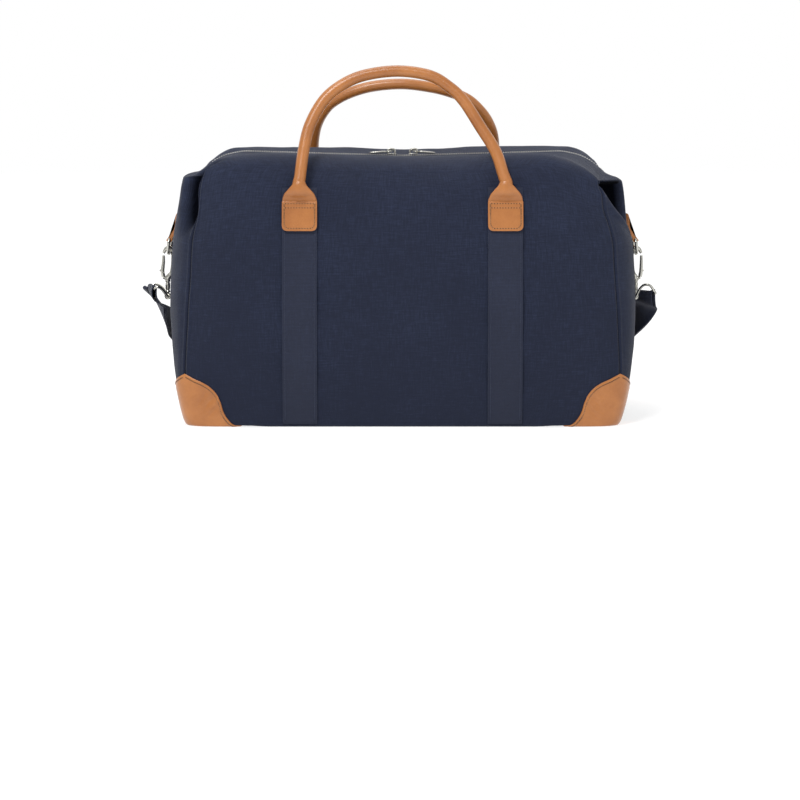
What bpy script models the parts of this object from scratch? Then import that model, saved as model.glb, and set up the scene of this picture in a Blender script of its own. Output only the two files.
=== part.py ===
"""Weekender bag: a soft canvas holdall with rolled leather handles, a two-slider zip, leather corners and a
shoulder strap clipped to a D-ring at each end. Metres, +Z up, the front of the bag faces -Y.

The origin is the centre of the footprint, on the ground. Every moving piece has its origin on its joint's axis.
"""

import math

import bmesh
import bpy
import numpy as np
from mathutils import Matrix, Vector

MM = 0.001

# ---------------------------------------------------------------- driving dimensions
HALF_LENGTH = 0.250
HALF_DEPTH = 0.119
BAG_TOP = 0.303
CORNER_LIFT = 0.0021
FLAT_SINK = 0.0022
CANVAS = 0.0014
GAP = 0.0003
CORNER_POWER = 6.0
SHOULDER_POWER_ENDS = 8.0
SHOULDER_POWER_FACES = 4.4
BASE_POWER = 10.0

WEBBING_WIDTH = 0.038
WEBBING = 0.0016
TAPE = 0.0008
HANDLE_HALF_SPAN = 0.113

# Fullness of the ends and faces against height: (height, factor on the half length, factor on the half depth).
FULLNESS = (
    (0.000, 0.985, 0.990),
    (0.030, 1.010, 1.010),
    (0.070, 1.035, 1.025),
    (0.120, 1.047, 1.030),
    (0.160, 1.045, 1.025),
    (0.210, 1.028, 1.010),
    (0.250, 1.012, 0.995),
    (0.303, 1.000, 0.985),
)

# The zip's line along the top: it dips at the middle, and each half of it is straight.
ZIP_DIP = 0.0055
ZIP_STRAIGHT = 0.190
ZIP_END = 0.221
ZIP_SLOPE = math.atan(ZIP_DIP / ZIP_STRAIGHT)

# The top corners of the faces are drawn in, with a hollow beside the strip that runs down the middle of each end.
CORNER_DRAW = 0.012
HOLLOW_IN = 0.010
HOLLOW_Y = 0.056
HOLLOW_SPREAD = 0.020
STRIP_HALF_WIDTH = 0.034

COLOURS = {
    "canvas": ((0.026, 0.034, 0.062, 1.0), 0.85, 0.0),
    "webbing": ((0.032, 0.040, 0.075, 1.0), 0.70, 0.0),
    "lining": ((0.050, 0.055, 0.080, 1.0), 0.80, 0.0),
    "leather": ((0.500, 0.200, 0.065, 1.0), 0.50, 0.0),
    "core": ((0.700, 0.640, 0.520, 1.0), 0.90, 0.0),
    "board": ((0.030, 0.030, 0.030, 1.0), 0.70, 0.0),
    "nickel": ((0.720, 0.710, 0.670, 1.0), 0.25, 1.0),
}


# ---------------------------------------------------------------- small tools
def clear_scene():
    for obj in list(bpy.data.objects):
        bpy.data.objects.remove(obj)


def material(name):
    """The shared Principled material of that name."""
    found = bpy.data.materials.get(name)
    if found:
        return found
    colour, roughness, metallic = COLOURS[name]
    made = bpy.data.materials.new(name)
    made.use_nodes = True
    shader = made.node_tree.nodes["Principled BSDF"]
    shader.inputs["Base Color"].default_value = colour
    shader.inputs["Roughness"].default_value = roughness
    shader.inputs["Metallic"].default_value = metallic
    return made


def smoothstep(low, high, value):
    t = min(1.0, max(0.0, (value - low) / (high - low)))
    return t * t * (3 - 2 * t)


def read_table(table, at, column):
    """The table's column at a value of its first column, on a smooth curve through the rows."""
    keys = [row[0] for row in table]
    values = [row[column] for row in table]
    if at <= keys[0]:
        return values[0]
    if at >= keys[-1]:
        return values[-1]
    slopes = list(np.gradient(values, keys))
    k = int(np.searchsorted(keys, at, side="right")) - 1
    span = keys[k + 1] - keys[k]
    t = (at - keys[k]) / span
    return (
        (2 * t**3 - 3 * t**2 + 1) * values[k]
        + (t**3 - 2 * t**2 + t) * span * slopes[k]
        + (3 * t**2 - 2 * t**3) * values[k + 1]
        + (t**3 - t**2) * span * slopes[k + 1]
    )


def add_mesh(name, verts, faces, finish, parent=None, origin=None):
    """A named object from points in world space, or in the parent's space, with its origin moved to origin."""
    shift = Vector(origin) if origin is not None else Vector((0, 0, 0))
    mesh = bpy.data.meshes.new(name)
    mesh.from_pydata([tuple(Vector(v) - shift) for v in verts], [], faces)
    made = bmesh.new()
    made.from_mesh(mesh)
    bmesh.ops.recalc_face_normals(made, faces=made.faces)
    made.to_mesh(mesh)
    made.free()
    mesh.shade_smooth()
    mesh.set_sharp_from_angle(angle=math.radians(40))
    mesh.materials.append(material(finish))
    obj = bpy.data.objects.new(name, mesh)
    obj.location = shift
    bpy.context.scene.collection.objects.link(obj)
    obj.parent = parent
    return obj


def add_empty(name, place, rotation=(0, 0, 0)):
    empty = bpy.data.objects.new(name, None)
    empty.location = place
    empty.rotation_euler = rotation
    bpy.context.scene.collection.objects.link(empty)
    return empty


# ---------------------------------------------------------------- the bag's outer shape
def raw_shell(u, v, w):
    """The outer surface in the direction (u, v, w) of a cube, before any offset: one smooth pillow whose cube
    edges are the seams between the panels."""
    side = (abs(u) ** CORNER_POWER + abs(v) ** CORNER_POWER) ** (1 / CORNER_POWER)
    along = abs(u) ** 4 / (abs(u) ** 4 + abs(v) ** 4 + 1e-12)
    top_power = SHOULDER_POWER_ENDS * along + SHOULDER_POWER_FACES * (1 - along)
    power = top_power if w > 0 else BASE_POWER
    scale = (side**power + abs(w) ** power) ** (-1 / power)
    middle = BAG_TOP / 2
    z = middle + w * scale * (middle if w > 0 else middle + FLAT_SINK)
    x = u * scale * HALF_LENGTH * read_table(FULLNESS, z, 1)
    y = v * scale * HALF_DEPTH * read_table(FULLNESS, z, 2)
    from_corner = math.hypot(HALF_LENGTH - abs(x), HALF_DEPTH - abs(y))
    z = max(z, CORNER_LIFT * (1 - smoothstep(0.066, 0.110, from_corner)))
    high = smoothstep(0.205, 0.280, z)
    outer = smoothstep(0.150, 0.235, abs(x))
    beside = 1 - math.exp(-((y / STRIP_HALF_WIDTH) ** 4))
    hollow = math.exp(-(((abs(y) - HOLLOW_Y) / HOLLOW_SPREAD) ** 2))
    x -= math.copysign((CORNER_DRAW * beside + HOLLOW_IN * hollow) * high * outer, x)
    if w > 0:
        near = math.exp(-((y / 0.060) ** 2)) * smoothstep(0.255, 0.290, z)
        flat = (1 - smoothstep(ZIP_STRAIGHT, 0.232, abs(x))) * w**20
        z += near * (flat * (BAG_TOP - z) - ZIP_DIP * max(0.0, 1 - abs(x) / ZIP_STRAIGHT))
    return Vector((x, y, z))


def shell(u, v, w, offset=0.0):
    """A point on the bag's surface, moved out along the surface's normal by offset."""
    place = raw_shell(u, v, w)
    if offset == 0.0:
        return place
    direction = Vector((u, v, w))
    first = direction.orthogonal().normalized()
    second = direction.cross(first).normalized()
    step = 0.004
    along_first = raw_shell(*(direction + first * step)) - raw_shell(*(direction - first * step))
    along_second = raw_shell(*(direction + second * step)) - raw_shell(*(direction - second * step))
    normal = along_first.cross(along_second).normalized()
    if normal.dot(direction) < 0:
        normal = -normal
    return place + normal * offset


def face_point(x, z, back=False, offset=0.0):
    """The point of the front or back face at that x and z."""
    v = 1.0 if back else -1.0
    u, w = x / HALF_LENGTH, (z - 0.143) / 0.143
    for _ in range(30):
        here = raw_shell(u, v, w)
        u += (x - here.x) / HALF_LENGTH
        w += (z - here.z) / 0.143
    return shell(u, v, w, offset)


def end_point(side, y, z, offset=0.0):
    """The point of the left (side -1) or right (side 1) end at that y and z."""
    v, w = y / HALF_DEPTH, (z - 0.143) / 0.143
    for _ in range(30):
        here = raw_shell(side, v, w)
        v += (y - here.y) / HALF_DEPTH
        w += (z - here.z) / 0.143
    return shell(side, v, w, offset)


def top_point(x, y, offset=0.0):
    """The point of the bag's top at that x and y."""
    u, v = x / HALF_LENGTH, y / HALF_DEPTH
    for _ in range(30):
        here = raw_shell(u, v, 1.0)
        u += (x - here.x) / HALF_LENGTH
        v += (y - here.y) / HALF_DEPTH
    return shell(u, v, 1.0, offset)


def zip_height(x):
    """The height of the middle of the zip's teeth."""
    return top_point(x, 0.0).z - CANVAS / 2


# ---------------------------------------------------------------- mesh builders
def sheet(name, grid_of, rows, columns, finish, outer, thickness, parent=None):
    """A closed sheet: grid_of(i, j, offset) gives a point for i in 0..rows and j in 0..columns."""
    verts, faces = [], []
    for offset in (outer, outer - thickness):
        for i in range(rows + 1):
            for j in range(columns + 1):
                verts.append(grid_of(i / rows, j / columns, offset))
    wide = columns + 1
    layer = (rows + 1) * wide
    for i in range(rows):
        for j in range(columns):
            a = i * wide + j
            faces.append((a, a + 1, a + wide + 1, a + wide))
            faces.append((layer + a, layer + a + wide, layer + a + wide + 1, layer + a + 1))
    rim = [j for j in range(wide)]
    rim += [i * wide + columns for i in range(1, rows + 1)]
    rim += [rows * wide + j for j in range(columns - 1, -1, -1)]
    rim += [i * wide for i in range(rows - 1, 0, -1)]
    for a, b in zip(rim, rim[1:] + rim[:1]):
        faces.append((a, layer + a, layer + b, b))
    return add_mesh(name, verts, faces, finish, parent)


def sweep(name, stations, finish, sides=12, power=2.0, closed=False, parent=None, origin=None):
    """A solid along stations (centre, forward, across, half width, half thickness), its section a superellipse."""
    verts, faces = [], []
    for centre, forward, across, wide, thick in stations:
        forward = Vector(forward).normalized()
        across = (Vector(across) - forward * Vector(across).dot(forward)).normalized()
        up = forward.cross(across)
        for k in range(sides):
            angle = math.tau * (k + 0.5) / sides
            c, s = math.cos(angle), math.sin(angle)
            c = math.copysign(abs(c) ** (2 / power), c)
            s = math.copysign(abs(s) ** (2 / power), s)
            verts.append(Vector(centre) + across * (wide * c) + up * (thick * s))
    count = len(stations)
    for i in range(count if closed else count - 1):
        after = (i + 1) % count
        for k in range(sides):
            right = (k + 1) % sides
            faces.append((i * sides + k, i * sides + right, after * sides + right, after * sides + k))
    if not closed:
        faces.append(tuple(range(sides)))
        faces.append(tuple((count - 1) * sides + k for k in range(sides)))
    return add_mesh(name, verts, faces, finish, parent, origin)


def tube(name, stations, inner, finish, sides=12, parent=None):
    """A hollow tube along stations, open at both ends; inner gives the bore's half width and half thickness."""
    verts, faces = [], []
    for (centre, forward, across, wide, thick), (inner_wide, inner_thick) in zip(stations, inner):
        forward = Vector(forward).normalized()
        across = (Vector(across) - forward * Vector(across).dot(forward)).normalized()
        up = forward.cross(across)
        for a, b in ((wide, thick), (inner_wide, inner_thick)):
            for k in range(sides):
                angle = math.tau * (k + 0.5) / sides
                verts.append(Vector(centre) + across * (a * math.cos(angle)) + up * (b * math.sin(angle)))
    ring = 2 * sides
    last = (len(stations) - 1) * ring
    for k in range(sides):
        right = (k + 1) % sides
        for i in range(len(stations) - 1):
            a, b = i * ring, (i + 1) * ring
            faces.append((a + k, a + right, b + right, b + k))
            faces.append((a + sides + k, b + sides + k, b + sides + right, a + sides + right))
        faces.append((k, sides + k, sides + right, right))
        faces.append((last + k, last + right, last + sides + right, last + sides + k))
    return add_mesh(name, verts, faces, finish, parent)


def pierced(name, outline, hole, thickness, place, finish, parent=None, origin=None):
    """A plate with one hole: outline and hole have the same number of points, and place(a, b, t) sets a point."""
    count = len(outline)
    verts = []
    for t in (-thickness / 2, thickness / 2):
        verts += [place(a, b, t) for a, b in outline]
        verts += [place(a, b, t) for a, b in hole]
    faces = []
    for k in range(count):
        right = (k + 1) % count
        top = 2 * count
        faces.append((k, right, count + right, count + k))
        faces.append((top + k, top + count + k, top + count + right, top + right))
        faces.append((k, top + k, top + right, right))
        faces.append((count + k, count + right, top + count + right, top + count + k))
    return add_mesh(name, verts, faces, finish, parent, origin)


def box_verts(low, high):
    return [(x, y, z) for x in (low[0], high[0]) for y in (low[1], high[1]) for z in (low[2], high[2])]


BOX_FACES = ((0, 1, 3, 2), (4, 6, 7, 5), (0, 4, 5, 1), (2, 3, 7, 6), (0, 2, 6, 4), (1, 5, 7, 3))


def tangents(points, closed=False):
    """The direction of travel at each point of a line."""
    found = []
    for i, _ in enumerate(points):
        before = points[i - 1] if i > 0 or closed else points[0]
        after = points[(i + 1) % len(points)] if i + 1 < len(points) or closed else points[-1]
        found.append((after - before).normalized())
    return found


def wire(name, points, radius, finish, closed=False, sides=10, across=(0, 1, 0), parent=None, origin=None):
    """A round bar along points, with one radius or one for each point."""
    radii = radius if hasattr(radius, "__len__") else [radius] * len(points)
    stations = [
        (p, t, across, r, r) for p, t, r in zip(points, tangents(points, closed), radii)
    ]
    return sweep(name, stations, finish, sides, closed=closed, parent=parent, origin=origin)


def smooth_line(points, steps):
    """Points on a Catmull-Rom curve through the given points, with steps to each span."""
    line = [Vector(p) for p in points]
    line = [line[0] * 2 - line[1], *line, line[-1] * 2 - line[-2]]
    found = []
    for a, b, c, d in zip(line, line[1:], line[2:], line[3:]):
        for k in range(steps):
            t = k / steps
            found.append(
                0.5 * (2 * b + (c - a) * t + (2 * a - 5 * b + 4 * c - d) * t**2 + (3 * b - 3 * c + d - a) * t**3)
            )
    return [*found, line[-2]]


def union(obj, other):
    """Joins another solid into obj, and takes the other out of the scene."""
    cut = obj.modifiers.new("join", "BOOLEAN")
    cut.operation = "UNION"
    cut.solver = "EXACT"
    cut.object = other
    other.hide_render = True
    other.display_type = "WIRE"


# ---------------------------------------------------------------- canvas, lining and base
SEAM = 0.0060
TAPE_EDGE_V = 0.070
FRONT, BACK = -1, 1
EDGE = 1 - SEAM
WALL_ROWS = (-EDGE, -0.965, -0.91, -0.84, -0.72, -0.48, -0.20, 0.10, 0.36, 0.56, 0.71, 0.83, 0.92, 0.975)
TOP_ROWS = (1.0, 0.95, 0.87, 0.74, 0.55, 0.30, TAPE_EDGE_V)
HALF_COLUMNS = (EDGE, 0.95, 0.87, 0.76, 0.62, 0.46, 0.31, 0.155)
COLUMNS = (*[-c for c in HALF_COLUMNS], 0.0, *HALF_COLUMNS[::-1])


def pick(values, t):
    """The value at t, 0 to 1, along a row of values."""
    return values[round(t * (len(values) - 1))]


def face_panel(name, way):
    """One face panel: up from the base seam and over the top to the zip tape."""
    rows = [(1.0, w) for w in WALL_ROWS] + [(v, 1.0) for v in TOP_ROWS]

    def at(i, j, offset):
        v, w = pick(rows, i)
        return shell(pick(COLUMNS, j), way * v, w, offset)

    return sheet(name, at, len(rows) - 1, len(COLUMNS) - 1, "canvas", 0.0, CANVAS)


def end_panel(name, side):
    """One end panel: its middle strip runs up to the zip, with a hollow each side of it at the top."""
    rows = (*WALL_ROWS, 0.985)

    def at(i, j, offset):
        return shell(side, pick(COLUMNS, j), pick(rows, i), offset)

    return sheet(name, at, len(rows) - 1, len(COLUMNS) - 1, "canvas", 0.0, CANVAS)


def base_panel():
    rows = (-EDGE, -0.94, -0.80, -0.40, 0.0, 0.40, 0.80, 0.94, EDGE)

    def at(i, j, offset):
        return shell(pick(COLUMNS, j), pick(rows, i), -1.0, offset)

    return sheet("base_panel", at, len(rows) - 1, len(COLUMNS) - 1, "canvas", 0.0, CANVAS)


LINING_GAP = 0.0064
LINING = 0.0008


def cube_points(across, deep, high):
    """The grid points of a cube's surface and its quads, as (u, v, w) and index tuples, with a slot along the top."""
    index, points, quads = {}, [], []

    def at(i, j, k):
        key = (i, j, k)
        if key not in index:
            index[key] = len(points)
            points.append((2 * i / across - 1, 2 * j / deep - 1, 2 * k / high - 1))
        return index[key]

    for k in range(high):
        for i in range(across):
            for j in (0, deep):
                quads.append((at(i, j, k), at(i + 1, j, k), at(i + 1, j, k + 1), at(i, j, k + 1)))
        for j in range(deep):
            for i in (0, across):
                quads.append((at(i, j, k), at(i, j + 1, k), at(i, j + 1, k + 1), at(i, j, k + 1)))
    slot = (deep // 2 - 1, deep // 2)
    for i in range(across):
        for j in range(deep):
            for k in (0, high):
                if k == high and j in slot and 0 < i < across - 1:
                    continue
                quads.append((at(i, j, k), at(i + 1, j, k), at(i + 1, j + 1, k), at(i, j + 1, k)))
    return points, quads


def lining():
    """The inner bag: a thin shell just inside the canvas, open along a slot under the zip."""
    points, quads = cube_points(12, 8, 6)
    outer = -(CANVAS + LINING_GAP)
    squeeze = (1.0, 0.96, 1.0)
    verts = []
    for offset in (outer, outer - LINING):
        for u, v, w in points:
            verts.append(shell(u * squeeze[0], v * squeeze[1], w * squeeze[2], offset))
    mesh_faces = [tuple(q) for q in quads] + [tuple(len(points) + a for a in q) for q in quads]
    edges = {}
    for quad in quads:
        for a, b in zip(quad, quad[1:] + quad[:1]):
            edges[frozenset((a, b))] = edges.get(frozenset((a, b)), 0) + 1
    for edge, uses in edges.items():
        if uses == 1:
            a, b = sorted(edge)
            mesh_faces.append((a, b, len(points) + b, len(points) + a))
    return add_mesh("lining", verts, mesh_faces, "lining")


BOARD = 0.0025
BOARD_TOP = 0.0064


def base_board():
    """The stiff board that lies in the bottom of the bag, with rounded corners."""
    half_x, half_y, radius = HALF_LENGTH - 0.052, HALF_DEPTH - 0.040, 0.020
    outline = []
    for cx, cy, start in ((1, 1, 0), (-1, 1, 90), (-1, -1, 180), (1, -1, 270)):
        for step in range(4):
            angle = math.radians(start + 30 * step)
            x = cx * (half_x - radius) + radius * math.cos(angle)
            y = cy * (half_y - radius) + radius * math.sin(angle)
            outline.append((x, y))
    count = len(outline)
    verts = [(x, y, BOARD_TOP - BOARD) for x, y in outline] + [(x, y, BOARD_TOP) for x, y in outline]
    faces = [tuple(range(count)), tuple(range(count, 2 * count))]
    faces += [(k, (k + 1) % count, count + (k + 1) % count, count + k) for k in range(count)]
    return add_mesh("base_board", verts, faces, "board")


# ---------------------------------------------------------------- leather corners and webbing
LEATHER = 0.0014
# The edge of a corner patch on a wall: (angle up from the base edge in degrees, distance from the corner).
CORNER_EDGE = (
    (0, 0.056), (14, 0.047), (33, 0.045), (48, 0.049), (59, 0.056), (69, 0.060), (81, 0.060), (90, 0.064),
)
BASE_REACH = 0.046
PATCH_GAP = 0.0007


def corner_reach(turn):
    """How far the patch reaches from the corner at turn, 0 to 3: face, end, base, a quarter turn each."""
    if turn <= 1:
        return read_table(CORNER_EDGE, turn * 90, 1)
    if turn <= 2:
        return read_table(CORNER_EDGE, (2 - turn) * 90, 1)
    middle = abs(turn - 2.5) * 2
    return BASE_REACH + (CORNER_EDGE[0][1] - BASE_REACH) * middle**2


def corner_point(side, way, turn, reach, offset):
    """A point of a corner patch, at a distance from the corner measured along the cube's faces."""
    angle = (turn % 1) * math.pi / 2
    c, s = reach * math.cos(angle), reach * math.sin(angle)
    along, up, deep = {0: (c, s, 0), 1: (0, c, s), 2: (s, 0, c)}[int(turn) % 3]
    u = side * (1 - along / HALF_LENGTH)
    v = way * (1 - deep / HALF_DEPTH)
    w = -1 + up / (BAG_TOP / 2)
    return shell(u, v, w, offset)


def leather_corner(name, side, way):
    steps, rings = 30, 5
    verts, faces = [], []
    for offset in (PATCH_GAP + LEATHER, PATCH_GAP):
        verts.append(corner_point(side, way, 0, 0, offset))
        for ring in range(1, rings + 1):
            for k in range(steps):
                turn = 3 * k / steps
                verts.append(corner_point(side, way, turn, corner_reach(turn) * ring / rings, offset))
    layer = 1 + steps * rings
    for base in (0, layer):
        for k in range(steps):
            after = (k + 1) % steps
            faces.append((base, base + 1 + k, base + 1 + after))
            for ring in range(rings - 1):
                a = base + 1 + ring * steps
                faces.append((a + k, a + steps + k, a + steps + after, a + after))
    last = 1 + (rings - 1) * steps
    for k in range(steps):
        after = (k + 1) % steps
        faces.append((last + k, last + after, layer + last + after, layer + last + k))
    return add_mesh(name, verts, faces, "leather")


WEBBING_FOOT = 0.0060
WEBBING_TOP = 0.262


def webbing_strip(name, x, back):
    """A strap of webbing sewn up the face, from the base seam to behind the handle's tab."""
    heights = [shell(x / HALF_LENGTH, 1.0, w).z for w in WALL_ROWS]
    heights = [WEBBING_FOOT, *[z for z in heights if WEBBING_FOOT + 0.004 < z < WEBBING_TOP - 0.004], WEBBING_TOP]

    def at(i, j, offset):
        return face_point(x + (j - 0.5) * WEBBING_WIDTH, pick(heights, i), back, offset)

    return sheet(name, at, len(heights) - 1, 2, "webbing", GAP + WEBBING, WEBBING)


# ---------------------------------------------------------------- handles
TAB_HALF_WIDTH = 0.0193
TAB_FOOT = 0.2165
TAB_NECK = 0.248
TAB_THICK = 0.0030
PIVOT_Z = 0.258
PIVOT_Y = 0.126
KNUCKLE = 0.0038
HANDLE_RADIUS = 0.0062
CORE_RADIUS = 0.0040
HANDLE_LEATHER = 0.0014
LEAN = {FRONT: math.radians(14), BACK: math.radians(26)}
# Each handle's line in its own plane: (along X, height above the pivot). Soft leather, so neither is quite even.
ARCH = {
    FRONT: (
        (-0.1130, 0.0054), (-0.1120, 0.0250), (-0.1085, 0.0480), (-0.1020, 0.0765), (-0.0870, 0.1045),
        (-0.0670, 0.1222), (-0.0415, 0.1335), (-0.0050, 0.1382), (0.0300, 0.1330), (0.0515, 0.1200),
        (0.0670, 0.1045), (0.0845, 0.0765), (0.1020, 0.0470), (0.1110, 0.0220), (0.1130, 0.0054),
    ),
    BACK: (
        (-0.1130, 0.0054), (-0.1105, 0.0280), (-0.1075, 0.0490), (-0.1060, 0.0660), (-0.1023, 0.0835),
        (-0.0946, 0.0997), (-0.0834, 0.1130), (-0.0630, 0.1252), (-0.0354, 0.1340), (0.0000, 0.1372),
        (0.0330, 0.1330), (0.0560, 0.1268), (0.0774, 0.1172), (0.0930, 0.1020), (0.1030, 0.0863),
        (0.1092, 0.0671), (0.1115, 0.0380), (0.1130, 0.0054),
    ),
}


def handle_tab(name, x, way):
    """The sewn tab of a handle: flat on the webbing, then a neck that rises to the pivot at its top."""
    rows = (
        (TAB_FOOT, 0.94), (TAB_FOOT + 0.002, 1.0), (0.226, 1.0), (0.237, 1.0), (TAB_NECK, 0.97),
    )
    stations = []
    lift = GAP + WEBBING + GAP + TAB_THICK / 2
    for z, share in rows:
        p = face_point(x, z, way == BACK, lift)
        stations.append((p, TAB_HALF_WIDTH * share, TAB_THICK / 2))
    neck = (
        (0.2525, 0.0165, 0.0018, 0.55), (0.2555, 0.0140, 0.0028, 0.9), (PIVOT_Z, 0.0125, KNUCKLE, 1.0),
        (PIVOT_Z + 0.0022, 0.0120, 0.0030, 1.0), (PIVOT_Z + KNUCKLE, 0.0110, 0.0008, 1.0),
    )
    start_y = stations[-1][0].y
    for z, wide, thick, share in neck:
        y = start_y + (way * PIVOT_Y - start_y) * share
        stations.append((Vector((x, y, z)), wide, thick))
    centres = [s[0] for s in stations]
    made = [
        (p, t, (1, 0, 0), wide, thick) for (p, wide, thick), t in zip(stations, tangents(centres))
    ]
    return sweep(name, made, "leather", sides=12, power=6.0)


def handle(way):
    """A rolled handle and the cord inside it, which turn about the pivot at the top of the tabs."""
    word = "front" if way == FRONT else "back"
    pivot = add_empty(f"pivot_handle_{word}", (0, way * PIVOT_Y, PIVOT_Z), (way * LEAN[way], 0, 0))
    line = smooth_line([(x, 0, height) for x, height in ARCH[way]], 2)
    stations, inner = [], []
    for p, t in zip(line, tangents(line)):
        flare = 1 - smoothstep(0.004, 0.026, p.z)
        wide = HANDLE_RADIUS + (0.0120 - HANDLE_RADIUS) * flare
        thick = HANDLE_RADIUS + (0.0024 - HANDLE_RADIUS) * flare
        across = Vector((0, 1, 0)).cross(t)
        stations.append((p, t, across, wide, thick))
        inner.append((wide - HANDLE_LEATHER, thick - HANDLE_LEATHER))
    tube(f"handle_{word}", stations, inner, "leather", sides=10, parent=pivot)
    core = [
        (p, t, across, CORE_RADIUS, CORE_RADIUS)
        for p, t, across, _, thick in stations
        if thick > HANDLE_RADIUS - 0.0004
    ]
    sweep(f"handle_core_{word}", core, "core", sides=8, parent=pivot)


# ---------------------------------------------------------------- zip
TOOTH_HALF_HEIGHT = 0.0013
TOOTH_LENGTH = 0.0014
SLIDER_START = 0.0070
SLIDER_LENGTH = 0.0110
SLIDER_HALF_WIDTH = 0.0042
PLATE_GAP = 0.0018
PLATE = 0.0012
BAIL_RADIUS = 0.0009
BAIL_RISE = 0.0046
PULL_LENGTH = 0.0240
PULL_THICK = 0.0013
PULL_DOWN = math.radians(6.5)


def zip_spread(x):
    """How far the teeth stand from the middle: closed along both runs, parted between the sliders."""
    return 0.0003 + 0.0016 * (1 - smoothstep(SLIDER_START + 0.0035, SLIDER_START + 0.0085, abs(x)))


def zip_stations():
    near = [0.0, 0.006, 0.0105, 0.0130, 0.0155, 0.021, 0.050, 0.100, 0.150, ZIP_STRAIGHT, 0.207, ZIP_END]
    return [-x for x in near[:0:-1]] + near


def zip_strip(name, way, low, high, bottom, top, finish):
    """A straight strip beside the zip's middle: low and high are distances out from the teeth's inner edge."""
    verts, faces = [], []
    xs = zip_stations()
    for x in xs:
        z = zip_height(x)
        start = zip_spread(x)
        far = high if high > 0.005 else start + high
        for y, h in ((start + low, bottom), (far, bottom), (far, top), (start + low, top)):
            verts.append((x, way * y, z + h))
    for i in range(len(xs) - 1):
        for k in range(4):
            right = (k + 1) % 4
            faces.append((4 * i + k, 4 * i + right, 4 * i + 4 + right, 4 * i + 4 + k))
    faces += [(0, 1, 2, 3), tuple(4 * (len(xs) - 1) + k for k in range(4))]
    return add_mesh(name, verts, faces, finish)


def build_zip():
    for way, word in ((FRONT, "front"), (BACK, "back")):
        tape_in = TOOTH_LENGTH + GAP
        zip_strip(f"zip_tape_{word}", way, tape_in, 0.0077, -TAPE / 2, TAPE / 2, "webbing")
        zip_strip(f"zip_teeth_{word}", way, 0.0, TOOTH_LENGTH, -TOOTH_HALF_HEIGHT, TOOTH_HALF_HEIGHT, "nickel")


def slider(side, word):
    """A slider on the zip, with its pull. Its frame lies along the zip's own slope."""
    start = zip_height(side * 0.012)
    frame = add_empty(f"frame_slider_{word}", (side * 0.012, 0, start), (0, -side * ZIP_SLOPE, 0))
    inner, outer = SLIDER_START - 0.012, SLIDER_START + SLIDER_LENGTH - 0.012

    def block(name, low, high, finish="nickel"):
        xs = sorted((side * low[0], side * high[0]))
        verts = box_verts((xs[0], low[1], low[2]), (xs[1], high[1], high[2]))
        return add_mesh(name, verts, BOX_FACES, finish, frame)

    half = SLIDER_HALF_WIDTH
    body = block(f"slider_{word}", (inner, -half, PLATE_GAP), (outer, half, PLATE_GAP + PLATE))
    under = block(f"slider_plate_{word}", (inner, -half, -PLATE_GAP - PLATE), (outer, half, -PLATE_GAP))
    post = block(f"slider_post_{word}", (inner + 0.0003, -0.0011, -0.0024), (inner + 0.0030, 0.0011, 0.0024))
    foot, head = PLATE_GAP + PLATE / 2, PLATE_GAP + PLATE + BAIL_RISE
    line = [
        (inner + 0.0020, foot), (inner + 0.0022, head - 0.0012), (inner + 0.0038, head),
        (outer - 0.0030, head), (outer - 0.0014, head - 0.0012), (outer - 0.0012, foot),
    ]
    bail = wire(
        f"slider_bail_{word}", [Vector((side * x, 0, z)) for x, z in line], BAIL_RADIUS, "nickel", sides=8,
        parent=frame,
    )
    for other in (post, under, bail):
        union(body, other)

    pivot_x, pivot_z = side * (outer - 0.0040), PLATE_GAP + PLATE + BAIL_RISE - 0.0023
    hinge = add_empty(f"pivot_pull_{word}", (pivot_x, 0, pivot_z), (0, side * PULL_DOWN, 0))
    hinge.parent = frame
    outline, hole = [], []
    for k in range(16):
        angle = math.tau * (k + 0.5) / 16
        c, s = math.cos(angle), math.sin(angle)
        reach = PULL_LENGTH - 0.0036 if c > 0 else 0.0
        wide, end = (0.0036, 0.0036) if c > 0 else (0.0040, 0.0020)
        outline.append((side * (reach + end * c), wide * math.copysign(abs(s) ** 0.6, s)))
        hole.append((side * (0.0020 + 0.0026 * c), 0.0022 * s))
    pierced(
        f"zip_pull_{word}", outline, hole, PULL_THICK, lambda a, b, t: Vector((a, b, t)), "nickel", parent=hinge
    )


# ---------------------------------------------------------------- end hardware
END_TAB_HALF_WIDTH = 0.0125
END_TAB_TOP = 0.2310
RING_BAR = {-1: (0.2672, 0.2035), 1: (0.2672, 0.2035)}
RING_WIRE = 0.0016
RING_DROP = 0.0190
RING_HALF_WIDTH = 0.0160
HOOK_X = {-1: 0.2715, 1: 0.2700}
CLAW_X = 0.2762
HOOK_FOOT = 0.1560
BARREL_FOOT = 0.1390
LOOP_PIVOT_Z = 0.1350
LOOP_WIRE = 0.0015
LOOP_OUT = {-1: (0.2865, 0.1620), 1: (0.2865, 0.1570)}
LOOP_HALF_WIDTH = 0.0215


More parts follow.
